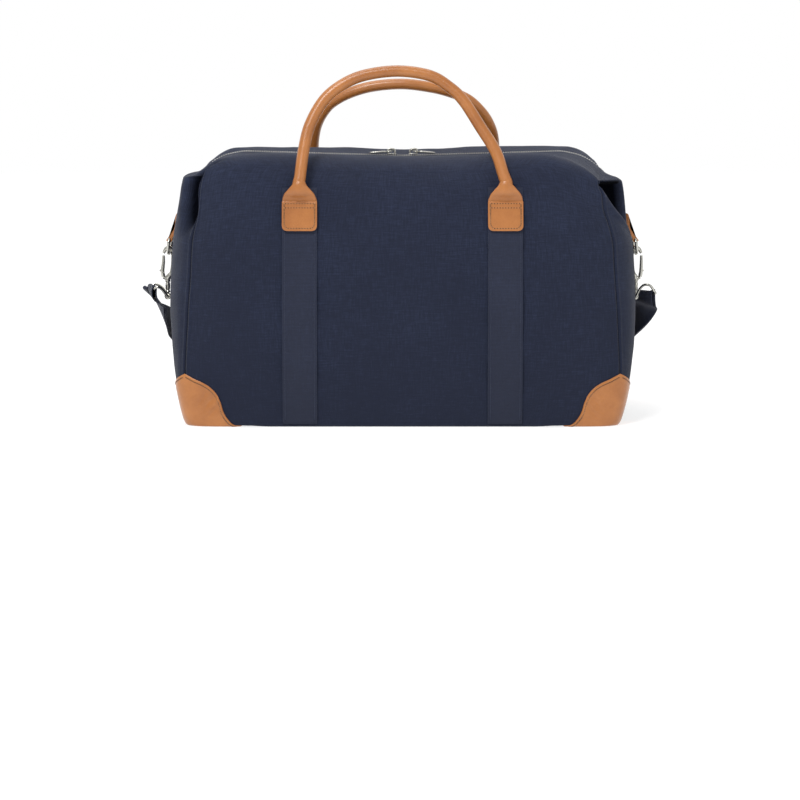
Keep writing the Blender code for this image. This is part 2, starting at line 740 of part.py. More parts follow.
def end_tab(name, side):
    """The leather tab that holds a D-ring: two layers sewn together above the ring's bar."""
    bar_x, bar_z = RING_BAR[side]
    hole, outline = [], []
    hole_radius, wrap_radius = RING_WIRE + GAP, RING_WIRE + GAP + LEATHER
    for k in range(20):
        angle = math.radians(-90 + 18 * k)
        hole.append((bar_x + hole_radius * math.cos(angle), bar_z + hole_radius * math.sin(angle)))
    for k in range(6):
        angle = math.radians(-90 + 18 * k)
        outline.append((bar_x + wrap_radius * math.cos(angle), bar_z + wrap_radius * math.sin(angle)))
    faces_out = ((0.2130, 0.0044), (0.2220, 0.0034), (0.2290, 0.0026), (END_TAB_TOP, 0.0018))
    for z, lift in faces_out:
        outline.append((end_point(1, 0, z, GAP + lift).x, z))
    for z in (END_TAB_TOP, 0.2250, 0.2190, 0.2130):
        outline.append((end_point(1, 0, z, GAP).x, z))
    outline.append((bar_x - wrap_radius - 0.0012, bar_z + 0.0040))
    for k in range(15, 20):
        angle = math.radians(-90 + 18 * k)
        outline.append((bar_x + wrap_radius * math.cos(angle), bar_z + wrap_radius * math.sin(angle)))
    return pierced(
        name, outline, hole, 2 * END_TAB_HALF_WIDTH, lambda a, b, t: Vector((side * a, t, b)), "leather"
    )


def ring_point(side, y, drop, tilt=math.radians(7)):
    """A point of the D-ring's plane: drop is measured down from its bar."""
    bar_x, bar_z = RING_BAR[side]
    return Vector((side * (bar_x + drop * math.sin(tilt)), y, bar_z - drop * math.cos(tilt)))


def d_ring(name, side):
    flat = [(y, 0.0) for y in (-0.0145, -0.007, 0.007, 0.0145)]
    bow = []
    for k in range(13):
        angle = math.pi * k / 12
        reach = RING_DROP - 0.0055
        bow.append((RING_HALF_WIDTH * math.cos(angle), 0.0055 + reach * math.sin(angle)))
    points = [ring_point(side, y, drop) for y, drop in [*flat, (RING_HALF_WIDTH, 0.0020), *bow, (-RING_HALF_WIDTH, 0.0020)]]
    bar_x, bar_z = RING_BAR[side]
    return wire(
        name, points, RING_WIRE, "nickel", closed=True, sides=8, across=(1, 0, 0.2), origin=(side * bar_x, 0, bar_z)
    )


def snap_hook(name, side):
    """The hook: a barrel, an arm up the inner side and a claw over the ring, with its eye below for the loop."""
    x = HOOK_X[side]
    line = [
        (x, BARREL_FOOT), (x, 0.1470), (x, HOOK_FOOT - 0.0010), (0.2668, 0.1615), (0.2656, 0.1690),
        (0.2654, 0.1780), (0.2656, 0.1855), (0.2690, 0.1905), (0.2735, 0.1893), (CLAW_X, 0.1850),
    ]
    radii = (0.0017, 0.0021, 0.0022, 0.0019, 0.0018, 0.0017, 0.0017, 0.0017, 0.0017, 0.0014)
    points = smooth_line([(side * a, 0, b) for a, b in line], 2)
    spread = [float(np.interp(i / 2, range(len(radii)), radii)) for i in range(len(points))]
    return wire(name, points, spread, "nickel", sides=8, origin=(side * x, 0, HOOK_FOOT))


def gate(name, side):
    """The sprung gate that closes the hook's outer side, hinged at its foot."""
    x = HOOK_X[side]
    line = [(x + 0.0050, 0.1575), (x + 0.0062, 0.1660), (CLAW_X + 0.0004, 0.1750), (CLAW_X, 0.1822)]
    points = [Vector((side * a, 0, b)) for a, b in line]
    return wire(name, points, (0.0016, 0.0014, 0.0013, 0.0012), "nickel", sides=8, origin=points[0])


def swivel_eye(name, side):
    """The small eye under the hook's barrel that turns on it and carries the strap's loop."""
    x = HOOK_X[side]
    outline, hole = [], []
    for k in range(12):
        angle = math.tau * k / 12
        outline.append((x + 0.0033 * math.cos(angle), LOOP_PIVOT_Z + 0.0033 * math.sin(angle)))
        hole.append((x + 0.0019 * math.cos(angle), LOOP_PIVOT_Z + 0.0019 * math.sin(angle)))
    return pierced(name, outline, hole, 0.0050, lambda a, b, t: Vector((side * a, t, b)), "nickel")


def strap_loop(name, side):
    """The wire loop the strap passes through: it hangs in the swivel's eye and is held up by the strap."""
    x, z = HOOK_X[side], LOOP_PIVOT_Z
    out_x, out_z = LOOP_OUT[side]
    corners = [
        (-0.0060, 0.0), (0.0060, 0.0), (0.0150, 0.10), (LOOP_HALF_WIDTH, 0.55), (LOOP_HALF_WIDTH, 0.93), (0.0195, 1.0),
        (-0.0195, 1.0), (-LOOP_HALF_WIDTH, 0.93), (-LOOP_HALF_WIDTH, 0.55), (-0.0150, 0.10),
    ]
    points = [Vector((side * (x + (out_x - x) * t), y, z + (out_z - z) * t)) for y, t in corners]
    return wire(name, points, LOOP_WIRE, "nickel", closed=True, sides=8, across=(1, 0, -0.5))


# ---------------------------------------------------------------- shoulder strap
STRAP = 0.0014
WRAP = LOOP_WIRE + GAP + STRAP / 2
ADJUSTER_AT = Vector((0.2715, 0.0640, 0.0930))
RUN_DIRECTION = Vector((-0.05, 0.80, -0.60)).normalized()
# The strap behind the bag, from the end of the straight run to the middle of the back: (x, y, z).
BEHIND = ((0.2560, 0.1160, 0.0490), (0.2260, 0.1350, 0.0340), (0.1700, 0.1420, 0.0240), (0.0850, 0.1430, 0.0215))


def strap_half(side, tail):
    """The strap's centreline and normals from its loose end, round the loop and away to the middle of the back."""
    out_x, out_z = LOOP_OUT[side]
    run_start = ADJUSTER_AT - RUN_DIRECTION * 0.034
    run_end = ADJUSTER_AT + RUN_DIRECTION * 0.030
    lower = [(out_x + WRAP - 0.0004, 0.0, out_z - 0.004), (out_x + 0.0008, 0.0040, 0.1390)]
    outward = [*lower, tuple(run_start), tuple(ADJUSTER_AT), tuple(run_end), *BEHIND, (0.0, 0.1430, 0.0215)]
    outward = smooth_line(outward, 4)
    turn = []
    for k in range(1, 6):
        angle = math.radians(180 - 36 * k + 18)
        turn.append(Vector((out_x + WRAP * math.cos(angle), 0.0, out_z + WRAP * math.sin(angle))))
    inner = []
    for p in tail:
        inner.append(Vector(p))
    return [*inner, *turn, *outward]


def build_strap():
    """One length of webbing from the sewn end on the left to the adjustable end on the right."""
    sides = {}
    for side in (-1, 1):
        out_x, out_z = LOOP_OUT[side]
        layer = STRAP + 2 * GAP
        run = ADJUSTER_AT - RUN_DIRECTION * 0.034
        inside = Vector((-1, -0.05, 0)).normalized() * layer
        if side < 0:
            tail = [Vector((out_x - 0.0020, 0.0035, 0.1400)) + inside, (out_x - WRAP, 0.0010, out_z - 0.010)]
        else:
            end = ADJUSTER_AT + RUN_DIRECTION * 0.016
            tail = [end + inside, ADJUSTER_AT + inside, run + inside]
            tail += [Vector((out_x - 0.0020, 0.0040, 0.1390)) + inside, (out_x - WRAP, 0.0, out_z - 0.006)]
        line = strap_half(side, tail)
        sides[side] = [Vector((side * p.x, p.y, p.z)) for p in line]
    line = sides[-1] + sides[1][-2::-1]
    return line


def strap_across(points):
    """The direction of the strap's width at each point: along Y at the loops, upright behind the bag."""
    found = []
    for p, t in zip(points, tangents(points)):
        upright = smoothstep(0.015, 0.125, p.y)
        across = Vector((0, 1 - upright, upright))
        if upright > 0 and abs(p.x) > 0.20:
            across = Vector((0, -t.z, t.y)) * (1 if t.y * (1 if p.x < 0 else -1) > 0 else -1)
        across = across - t * across.dot(t)
        if found and across.dot(found[-1]) < 0:
            across = -across
        found.append(across.normalized())
    return found


def adjuster():
    """The slide that grips the strap's two layers on its straight run, in line with the run."""
    forward = RUN_DIRECTION
    across = Vector((0, -forward.z, forward.y)).normalized()
    normal = across.cross(forward)
    centre = ADJUSTER_AT + Vector((-1, -0.05, 0)).normalized() * (STRAP / 2 + GAP)
    outline, hole = [], []
    for k in range(16):
        angle = math.tau * (k + 0.5) / 16
        c = math.copysign(abs(math.cos(angle)) ** 0.25, math.cos(angle))
        s = math.copysign(abs(math.sin(angle)) ** 0.25, math.sin(angle))
        outline.append((0.0222 * c, 0.0039 * s))
        hole.append((0.0202 * c, 0.0024 * s))
    return pierced(
        "strap_adjuster", outline, hole, 0.0200, lambda a, b, t: centre + across * a + normal * b + forward * t,
        "nickel", origin=centre,
    )


def pocket():
    """The slip pocket sewn inside the back of the lining."""

    def at(i, j, offset):
        return face_point(-0.085 + 0.170 * j, 0.105 + 0.120 * i, True, offset)

    return sheet("lining_pocket", at, 3, 4, "lining", -(CANVAS + LINING_GAP + LINING + 0.0012), LINING)


def shoulder_strap():
    points = build_strap()
    directions = tangents(points)
    stations = [
        (p, t, a, WEBBING_WIDTH / 2, STRAP / 2) for p, t, a in zip(points, directions, strap_across(points))
    ]
    return sweep("shoulder_strap", stations, "webbing", sides=4, power=2.0)


def main():
    clear_scene()
    face_panel("front_panel", FRONT)
    face_panel("back_panel", BACK)
    end_panel("end_panel_left", -1)
    end_panel("end_panel_right", 1)
    base_panel()
    lining()
    pocket()
    base_board()
    for side, side_word in ((-1, "left"), (1, "right")):
        for way, way_word in ((FRONT, "front"), (BACK, "back")):
            leather_corner(f"corner_{way_word}_{side_word}", side, way)
            webbing_strip(f"webbing_{way_word}_{side_word}", side * HANDLE_HALF_SPAN, way == BACK)
            handle_tab(f"handle_tab_{way_word}_{side_word}", side * HANDLE_HALF_SPAN, way)
        slider(side, side_word)
        end_tab(f"end_tab_{side_word}", side)
        d_ring(f"d_ring_{side_word}", side)
        snap_hook(f"snap_hook_{side_word}", side)
        gate(f"hook_gate_{side_word}", side)
        swivel_eye(f"swivel_eye_{side_word}", side)
        strap_loop(f"strap_loop_{side_word}", side)
    handle(FRONT)
    handle(BACK)
    build_zip()
    shoulder_strap()
    adjuster()


main()
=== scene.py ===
"""Looks for the weekender bag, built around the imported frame. Metres, +Z up, the front faces -Y."""

import math

import bmesh
import bpy
import numpy as np
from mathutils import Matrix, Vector, noise


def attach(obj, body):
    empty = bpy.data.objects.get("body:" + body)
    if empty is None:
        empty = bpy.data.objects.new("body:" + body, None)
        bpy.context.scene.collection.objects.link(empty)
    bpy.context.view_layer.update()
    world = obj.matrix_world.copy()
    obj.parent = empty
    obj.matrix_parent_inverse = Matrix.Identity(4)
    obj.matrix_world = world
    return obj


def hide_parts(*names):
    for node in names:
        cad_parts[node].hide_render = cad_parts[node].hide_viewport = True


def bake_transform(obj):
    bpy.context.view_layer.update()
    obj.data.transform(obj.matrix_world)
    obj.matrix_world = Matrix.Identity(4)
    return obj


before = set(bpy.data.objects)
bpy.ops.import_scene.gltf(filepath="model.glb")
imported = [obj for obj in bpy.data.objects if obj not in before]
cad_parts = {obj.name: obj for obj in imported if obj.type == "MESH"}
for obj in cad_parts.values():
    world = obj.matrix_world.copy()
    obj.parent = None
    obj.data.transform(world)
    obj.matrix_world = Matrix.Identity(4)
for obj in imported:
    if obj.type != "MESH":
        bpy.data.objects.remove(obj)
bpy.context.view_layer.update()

# ---------------------------------------------------------------- dimensions, as in the CAD
HALF_LENGTH, HALF_DEPTH, BAG_TOP = 0.250, 0.119, 0.303
CORNER_LIFT, FLAT_SINK = 0.0021, 0.0022
CANVAS, GAP, LEATHER, WEBBING = 0.0014, 0.0003, 0.0014, 0.0016
END_POWER, FACE_POWER, BASE_POWER = 10.0, 4.4, 48.0
FULLNESS = (
    (0.000, 0.966, 0.990),
    (0.030, 0.999, 1.006),
    (0.070, 1.030, 1.018),
    (0.120, 1.048, 1.024),
    (0.160, 1.046, 1.018),
    (0.210, 1.035, 1.006),
    (0.250, 1.024, 0.995),
    (0.303, 1.008, 0.985),
)
ZIP_DIP, ZIP_STRAIGHT, ZIP_END = 0.0055, 0.190, 0.230
ZIP_SLOPE = math.atan(ZIP_DIP / ZIP_STRAIGHT)
WEBBING_WIDTH, HANDLE_X = 0.038, 0.113
FRONT, BACK = -1, 1
SIDES = ((-1, "left"), (1, "right"))
WAYS = ((FRONT, "front"), (BACK, "back"))
UP_AXIS = np.array([0.0, 0.0, 1.0])


# ---------------------------------------------------------------- numbers
def ramp(low, high, value):
    t = np.clip((np.asarray(value, float) - low) / (high - low), 0.0, 1.0)
    return t * t * (3 - 2 * t)


def read_table(table, at, column):
    """The table's column at values of its first column, on a smooth curve through the rows."""
    keys = np.array([row[0] for row in table])
    values = np.array([row[column] for row in table])
    slopes = np.gradient(values, keys)
    at = np.clip(at, keys[0], keys[-1])
    k = np.clip(np.searchsorted(keys, at, side="right") - 1, 0, len(keys) - 2)
    span = keys[k + 1] - keys[k]
    t = (at - keys[k]) / span
    return (
        (2 * t**3 - 3 * t**2 + 1) * values[k]
        + (t**3 - 2 * t**2 + t) * span * slopes[k]
        + (3 * t**2 - 2 * t**3) * values[k + 1]
        + (t**3 - t**2) * span * slopes[k + 1]
    )


def bell(value, centre, spread):
    return np.exp(-(((value - centre) / spread) ** 2))


# ---------------------------------------------------------------- the bag's shape
# Power of the plan's corners against height, from the base at -1 to the top at 1: square at the leather corners.
CORNERS = ((-1.0, 15.0), (-0.75, 12.5), (-0.45, 8.5), (0.0, 6.6), (0.35, 6.4), (0.7, 6.6), (1.0, 7.0))


# Height of the top along the zip, and where it turns down over the end strip: (distance from the middle, height).
RIDGE = (
    (0.000, 0.3060), (0.170, 0.3055), (0.192, 0.3015), (0.206, 0.2975), (0.217, 0.2915), (0.226, 0.2845),
    (0.233, 0.2805), (0.240, 0.2790), (0.246, 0.2772), (0.250, 0.2750), (0.254, 0.2715), (0.257, 0.2665),
    (0.260, 0.2590), (0.263, 0.2490), (0.270, 0.2300),
)
# Where an open fold's edge stands, out from the middle of the end, against height.
FOLD = ((0.198, 0.046), (0.212, 0.070), (0.224, 0.085), (0.236, 0.095), (0.250, 0.1005), (0.268, 0.1045))


def tuck(x, y, z):
    """The inward folds of the end canvas beside the strip that runs up to the zip, and how far each pushes in."""
    q, right, near = np.abs(y), x > 0, y < 0
    push = np.zeros_like(x)
    # open folds: at the front on the right, and at the back on the left
    for here, deep in ((right & near, 0.044), (~right & ~near, 0.034)):
        fold = read_table(FOLD, z, 1)
        weight = ramp(0.023, 0.043, q) * (1 - ramp(fold - 0.007, fold + 0.0015, q))
        weight = weight * ramp(0.208, 0.234, z) * (1 - ramp(0.264, 0.271, z))
        push += np.where(here, deep * weight, 0.0)
        bead = 0.0030 * bell(q, fold + 0.004, 0.0045) * ramp(0.205, 0.235, z) * (1 - ramp(0.255, 0.270, z))
        push -= np.where(here, bead, 0.0)
    # closed folds: a narrow slit beside the seam
    for here, deep in ((~right & near, 0.020), (right & ~near, 0.014)):
        weight = bell(q, 0.0985 + 0.003 * (1 - ramp(0.22, 0.27, z)), 0.0046) * ramp(0.205, 0.245, z)
        weight = weight * (1 - 0.6 * ramp(0.276, 0.286, z))
        push += np.where(here, deep * weight, 0.0)
        push -= np.where(here, 0.0022 * bell(q, 0.088, 0.009) * ramp(0.205, 0.245, z), 0.0)
    return push * ramp(0.185, 0.215, np.abs(x))


def shape(d):
    """The bag's outer surface for directions d, an (n, 3) array of points on a cube, before small relief."""
    d = np.asarray(d, float)
    u, v, w = (d / np.abs(d).max(axis=1, keepdims=True)).T
    corner = read_table(CORNERS, w, 1)
    side = (np.abs(u) ** corner + np.abs(v) ** corner) ** (1 / corner)
    along = u**4 / (u**4 + v**4 + 1e-12)
    power = END_POWER * along + FACE_POWER * (1 - along) + 16.0 * along * (1 - along)
    power = np.where(w > 0, power, BASE_POWER)
    scale = (side**power + np.abs(w) ** power) ** (-1 / power)
    middle = BAG_TOP / 2
    z = middle + w * scale * np.where(w > 0, middle, middle + FLAT_SINK)
    x = u * scale * HALF_LENGTH * read_table(FULLNESS, z, 1)
    y = v * scale * HALF_DEPTH * read_table(FULLNESS, z, 2)
    from_corner = np.hypot(HALF_LENGTH - np.abs(x), HALF_DEPTH - np.abs(y))
    z = np.maximum(z, CORNER_LIFT * (1 - ramp(0.066, 0.110, from_corner)))
    near = np.exp(-((y / 0.060) ** 2)) * ramp(0.255, 0.290, z)
    flat = (1 - ramp(ZIP_STRAIGHT, 0.232, np.abs(x))) * np.clip(w, 0, 1) ** 20
    rise = near * (flat * (BAG_TOP - z) - ZIP_DIP * np.maximum(0.0, 1 - np.abs(x) / ZIP_STRAIGHT))
    z = np.where(w > 0, z + rise, z)
    # the back of the top stands a little higher than the zip, and the front of it a little lower
    top = np.where(w > 0, ramp(0.262, 0.290, z), 0.0)
    inside = 1 - ramp(0.195, 0.235, np.abs(x))
    high, low = 0.0052 * bell(y, 0.052, 0.030) * (0.45 + 0.55 * inside), 0.0040 * bell(y, -0.045, 0.028) * inside
    z = z + top * (high - low)
    behind = 0.0085 * ramp(0.012, 0.045, y) * (1 - ramp(0.226, 0.240, np.abs(x)))
    ridge = read_table(RIDGE, np.abs(x), 1) - 0.0035 * (x > 0) * ramp(0.225, 0.242, x) + behind
    over = np.maximum(z - ridge + 0.0015, 0.0)
    z = np.where(w > 0, z - over * over / (over + 0.0015), z)
    # beside the strip up the middle, the top of each end is drawn in
    draw = np.where((x > 0) & (y < 0), 0.0120, 0.0050) * (1 - np.exp(-((y / 0.040) ** 4)))
    drawn = ramp(0.195, 0.262, z) * ramp(0.150, 0.235, np.abs(x)) * (1 - 0.5 * ramp(0.272, 0.292, z))
    x = x - np.sign(x) * draw * drawn
    # the corners of the top sag beside the ends of the zip, most at the front on the right
    sag = np.where((x > 0) & (y < 0), 0.0150, np.where((x < 0) & (y > 0), 0.0110, 0.0030))
    reach = ramp(0.150, 0.228, np.abs(x)) * ramp(0.030, 0.092, np.abs(y)) * ramp(0.225, 0.290, z)
    z = z - sag * reach
    push = tuck(x, y, z)
    return np.stack([x - np.sign(x) * push, y, z], axis=1)


def normals(d):
    d = np.asarray(d, float)
    level = np.abs(d[:, [2]]) < 0.7 * np.abs(d).max(axis=1, keepdims=True)
    helper = np.where(level, [[0, 0, 1.0]], [[1.0, 0, 0]])
    first = np.cross(d, helper)
    first /= np.linalg.norm(first, axis=1, keepdims=True)
    second = np.cross(d, first)
    second /= np.linalg.norm(second, axis=1, keepdims=True)
    step = 0.003
    one, other = (shape(d + way * step) - shape(d - way * step) for way in (first, second))
    n = np.cross(one, other)
    n /= np.linalg.norm(n, axis=1, keepdims=True) + 1e-12
    return n * np.where((n * d).sum(axis=1, keepdims=True) < 0, -1, 1)


def relief(d, p, seams=1.0):
    """Soft wrinkles, and the grooves at the seams, as a height above the smooth shape."""
    size = np.sort(np.abs(d), axis=1)
    edge = 1 - size[:, 1] / size[:, 2]
    # the seams run up the four corners and round the base; the faces carry on over the top without one
    u, v, w = np.abs(d).T
    unsewn = (d[:, 2] > 0) & (w > np.minimum(u, v))
    seams = seams * np.where(unsewn, 0.0, 1.0)
    out = -0.0016 * seams * np.exp(-((edge / 0.0055) ** 2)) + 0.0007 * seams * bell(edge, 0.020, 0.010)
    soft = np.array(
        [
            0.9 * noise.noise(Vector((q[0] * 9, q[1] * 9, q[2] * 6)))
            + 0.55 * noise.noise(Vector((q[0] * 24 + 7, q[1] * 24, q[2] * 16)))
            + 0.22 * noise.noise(Vector((q[0] * 60, q[1] * 60 + 3, q[2] * 48)))
            for q in p
        ]
    )
    low = ramp(0.004, 0.030, p[:, 2])
    return out * ramp(0.0, 0.01, p[:, 2] + 0.004) + 0.0017 * soft * low


def skin(d, offset=0.0):
    """Points of the bag's finished surface in directions d, moved out by offset."""
    d = np.asarray(d, float)
    p = shape(d)
    lift = relief(d, p) + offset
    done = p + normals(d) * lift[:, None]
    flat = p[:, 2] < 0.0003
    done[:, 2] = np.where(flat & (offset <= 0), np.maximum(done[:, 2], 0.0), done[:, 2])
    return done


def solve(kind, a, b, sign):
    """Directions whose surface points have the given (x, z) on a face, (y, z) on an end or (x, y) on the top."""
    a, b = np.asarray(a, float), np.asarray(b, float)
    s = a / (HALF_DEPTH if kind == "end" else HALF_LENGTH)
    t = b / HALF_DEPTH if kind == "top" else (b - BAG_TOP / 2) / (BAG_TOP / 2)
    for _ in range(25):
        if kind == "face":
            d = np.stack([s, np.full_like(s, sign), t], axis=1)
            p = shape(d)
            s, t = s + (a - p[:, 0]) / HALF_LENGTH, t + (b - p[:, 2]) / (BAG_TOP / 2)
        elif kind == "end":
            d = np.stack([np.full_like(s, sign), s, t], axis=1)
            p = shape(d)
            s, t = s + (a - p[:, 1]) / HALF_DEPTH, t + (b - p[:, 2]) / (BAG_TOP / 2)
        else:
            d = np.stack([s, t, np.ones_like(s)], axis=1)
            p = shape(d)
            s, t = s + (a - p[:, 0]) / HALF_LENGTH, t + (b - p[:, 1]) / HALF_DEPTH
    return d


# ---------------------------------------------------------------- meshes
def make(name, verts, faces, finish, uvs=None, smooth=60):
    """A named object with a material; uvs is one (u, v) in metres for each vertex."""
    mesh = bpy.data.meshes.new(name)
    mesh.from_pydata([tuple(map(float, v)) for v in verts], [], [tuple(map(int, f)) for f in faces])
    if uvs is not None:
        layer = mesh.uv_layers.new(name="UVMap")
        index = np.empty(len(mesh.loops), np.int32)
        mesh.loops.foreach_get("vertex_index", index)
        layer.data.foreach_set("uv", np.asarray(uvs, np.float32)[index].ravel())
    tool = bmesh.new()
    tool.from_mesh(mesh)
    bmesh.ops.recalc_face_normals(tool, faces=tool.faces)
    tool.to_mesh(mesh)
    tool.free()
    mesh.shade_smooth()
    if smooth < 180:
        mesh.set_sharp_from_angle(angle=math.radians(smooth))
    mesh.materials.append(finish)
    obj = bpy.data.objects.new(name, mesh)
    bpy.context.scene.collection.objects.link(obj)
    return obj


def grid_uv(points, rows, columns):
    """Distances along a grid of points, as (u, v) in metres."""
    g = np.asarray(points).reshape(rows, columns, 3)
    along = np.concatenate([[0], np.cumsum(np.linalg.norm(np.diff(g[rows // 2], axis=0), axis=1))])
    down = np.concatenate([[0], np.cumsum(np.linalg.norm(np.diff(g[:, columns // 2], axis=0), axis=1))])
    return np.stack([np.tile(along, rows), np.repeat(down, columns)], axis=1)


def closed_sheet(name, outer, inner, rows, columns, finish, uv=None, smooth=60):
    """A closed sheet from two grids of points."""
    layer = rows * columns
    a = (np.arange(rows - 1)[:, None] * columns + np.arange(columns - 1)[None, :]).ravel()
    faces = [tuple(f) for f in np.stack([a, a + 1, a + columns + 1, a + columns], axis=1)]
    faces += [tuple(f) for f in layer + np.stack([a, a + columns, a + columns + 1, a + 1], axis=1)]
    rim = list(range(columns))
    rim += [i * columns + columns - 1 for i in range(1, rows)]
    rim += [(rows - 1) * columns + j for j in range(columns - 2, -1, -1)]
    rim += [i * columns for i in range(rows - 2, 0, -1)]
    faces += [(p, layer + p, layer + q, q) for p, q in zip(rim, rim[1:] + rim[:1])]
    uv = grid_uv(outer, rows, columns) if uv is None else uv
    return make(name, np.concatenate([outer, inner]), faces, finish, np.concatenate([uv, uv]), smooth)


def spaced(count, sharp=0.5):
    """count values from -1 to 1, closer together near both ends."""
    t = np.linspace(-1, 1, count)
    return (1 - sharp) * t + sharp * np.sin(math.pi / 2 * t)


def tangents(points, closed=False):
    p = np.asarray([tuple(q) for q in points], float)
    if closed:
        t = np.roll(p, -1, axis=0) - np.roll(p, 1, axis=0)
    else:
        t = np.gradient(p, axis=0)
    return t / (np.linalg.norm(t, axis=1, keepdims=True) + 1e-12)


def sweep(
    name, centres, forwards, acrosses, wides, thicks, finish, sides=24, powers=2.0, closed=False, smooth=50,
    crowns=0.0,
):
    """A solid along a line; its section is a superellipse of a width, a thickness and a power at each point.

    crowns lifts the middle of a flat face: the upper one where positive, the lower one where negative."""
    count = len(centres)
    crowns = np.broadcast_to(crowns, count)
    powers = np.broadcast_to(powers, count)
    wides, thicks = np.broadcast_to(wides, count), np.broadcast_to(thicks, count)
    verts, uvs = [], []
    travelled = 0.0
    angles = math.tau * (np.arange(sides) + 0.5) / sides
    for i in range(count):
        here = (centres[i], forwards[i], acrosses[i])
        centre, forward, across = (np.asarray(tuple(q), float) for q in here)
        across = across - forward * across.dot(forward)
        across /= np.linalg.norm(across)
        up = np.cross(forward, across)
        if i:
            travelled += float(np.linalg.norm(centre - np.asarray(tuple(centres[i - 1]), float)))
        c, s = np.cos(angles), np.sin(angles)
        c = np.sign(c) * np.abs(c) ** (2 / powers[i])
        s = np.sign(s) * np.abs(s) ** (2 / powers[i])
        crowned = (np.sign(s) == np.sign(crowns[i])) * np.abs(s) ** 0.5
        lift = crowns[i] * np.exp(-((wides[i] * c / 0.0062) ** 2)) * crowned
        ring = centre + across * (wides[i] * c)[:, None] + up * (thicks[i] * s + lift)[:, None]
        verts.extend(ring)
        round_way = (angles / math.tau) * 2 * (wides[i] + thicks[i]) * 1.6
        across_way = wides[i] * c if thicks[i] < 0.35 * wides[i] else round_way
        uvs.extend((u, travelled) for u in across_way)
    faces = []
    for i in range(count if closed else count - 1):
        after = (i + 1) % count
        for k in range(sides):
            right = (k + 1) % sides
            faces.append((i * sides + k, i * sides + right, after * sides + right, after * sides + k))
    if not closed:
        faces.append(tuple(range(sides)))
        faces.append(tuple((count - 1) * sides + k for k in range(sides)))
    return make(name, verts, faces, finish, uvs, smooth)


def smooth_line(points, steps):
    """Points on a Catmull-Rom curve through the given points (of any width), with steps to each span."""
    line = np.asarray([tuple(p) for p in points], float)
    line = np.concatenate([[2 * line[0] - line[1]], line, [2 * line[-1] - line[-2]]])
    found = []
    for a, b, c, d in zip(line, line[1:], line[2:], line[3:]):
        for k in range(steps):
            t = k / steps
            cubic = (2 * a - 5 * b + 4 * c - d) * t**2 + (3 * b - 3 * c + d - a) * t**3
            found.append(0.5 * (2 * b + (c - a) * t + cubic))
    return np.array([*found, line[-2]])


def even_line(points, pitch):
    """The line's points spaced evenly."""
    p = np.asarray([tuple(q) for q in points], float)
    run = np.concatenate([[0], np.cumsum(np.linalg.norm(np.diff(p, axis=0), axis=1))])
    count = max(2, int(round(run[-1] / pitch)) + 1)
    at = np.linspace(0, run[-1], count)
    return np.stack([np.interp(at, run, p[:, k]) for k in range(p.shape[1])], axis=1)


def wire(name, points, radius, finish, closed=False, sides=16, steps=6, across=(0, 1, 0), flat=1.0):
    """A round bar on a smooth curve through points; radius is one value, or one for each point."""
    radii = np.broadcast_to(radius, len(points))
    rows = [(*tuple(p), r) for p, r in zip(points, radii)]
    if closed:
        rows = smooth_line([*rows[-2:], *rows, *rows[:3]], steps)
        rows = rows[2 * steps : -3 * steps - 1]
        rows = np.array(rows)
        rows = rows[: len(points) * steps]
    else:
        rows = smooth_line(rows, steps)
    line, r = rows[:, :3], rows[:, 3]
    forwards = tangents(line, closed)
    return sweep(name, line, forwards, [across] * len(line), r, r * flat, finish, sides, closed=closed)


def stitches(name, runs, finish, pitch=0.0042, length=0.0027, thick=0.00045):
    """Thread on the surface: each run is (points, normals), one stitch every pitch."""
    verts, faces = [], []
    for points, outs in runs:
        rows = even_line(np.concatenate([points, outs], axis=1), pitch)
        line, out = rows[:, :3], rows[:, 3:]
        forwards = tangents(line)
        for p, n, f in zip(line, out, forwards):
            n = n / (np.linalg.norm(n) + 1e-12)
            side = np.cross(f, n)
            base = len(verts)
            for at, size in ((-0.5, 0.35), (-0.32, 1.0), (0.32, 1.0), (0.5, 0.35)):
                for a, b in ((1, 0), (0, 1), (-1, 0), (0, -1)):
                    verts.append(p + f * length * at + side * a * thick * size * 1.25 + n * b * thick * size)
            for ring in range(3):
                for k in range(4):
                    right = (k + 1) % 4
                    o = base + 4 * ring
                    faces.append((o + k, o + right, o + 4 + right, o + 4 + k))
            faces.append((base, base + 1, base + 2, base + 3))
            faces.append((base + 12, base + 15, base + 14, base + 13))
    return make(name, verts, faces, finish, smooth=80)


def needle_holes(name, runs, finish, pitch, size=0.00062, depth=0.00022):
    """Small dark dots between the stitches of the same runs: painted shade standing in for the hollows of the needle
    holes.
    """
    verts, faces = [], []
    for points, outs in runs:
        rows = even_line(np.concatenate([points, outs], axis=1), pitch)
        middles = (rows[:-1] + rows[1:]) / 2
        if len(middles) < 2:
            continue
        for row, f in zip(middles, tangents(middles[:, :3])):
            p, n = row[:3], row[3:] / np.linalg.norm(row[3:])
            side = np.cross(f, n)
            base = len(verts)
            for lift, grow in ((-0.0002, 1.0), (depth, 0.8)):
                for k in range(6):
                    a = math.tau * k / 6
                    verts.append(p + n * lift + (f * math.cos(a) + side * math.sin(a)) * size * grow)
            for k in range(6):
                faces.append((base + k, base + (k + 1) % 6, base + 6 + (k + 1) % 6, base + 6 + k))
            faces.append(tuple(base + k for k in range(5, -1, -1)))
            faces.append(tuple(base + 6 + k for k in range(6)))
    return make(name, verts, faces, finish, smooth=80)


# ---------------------------------------------------------------- materials
def new_material(name):
    made = bpy.data.materials.new(name)
    made.use_nodes = True
    tree = made.node_tree
    shader = tree.nodes["Principled BSDF"]

    def add(kind, **settings):
        node = tree.nodes.new(kind)
        for key, value in settings.items():
            if key in node.inputs:
                node.inputs[key].default_value = value
            else:
                setattr(node, key, value)
        return node

    def join(a, b, out=0):
        tree.links.new(a.outputs[out] if hasattr(a, "outputs") else a, b)

    return made, shader, add, join


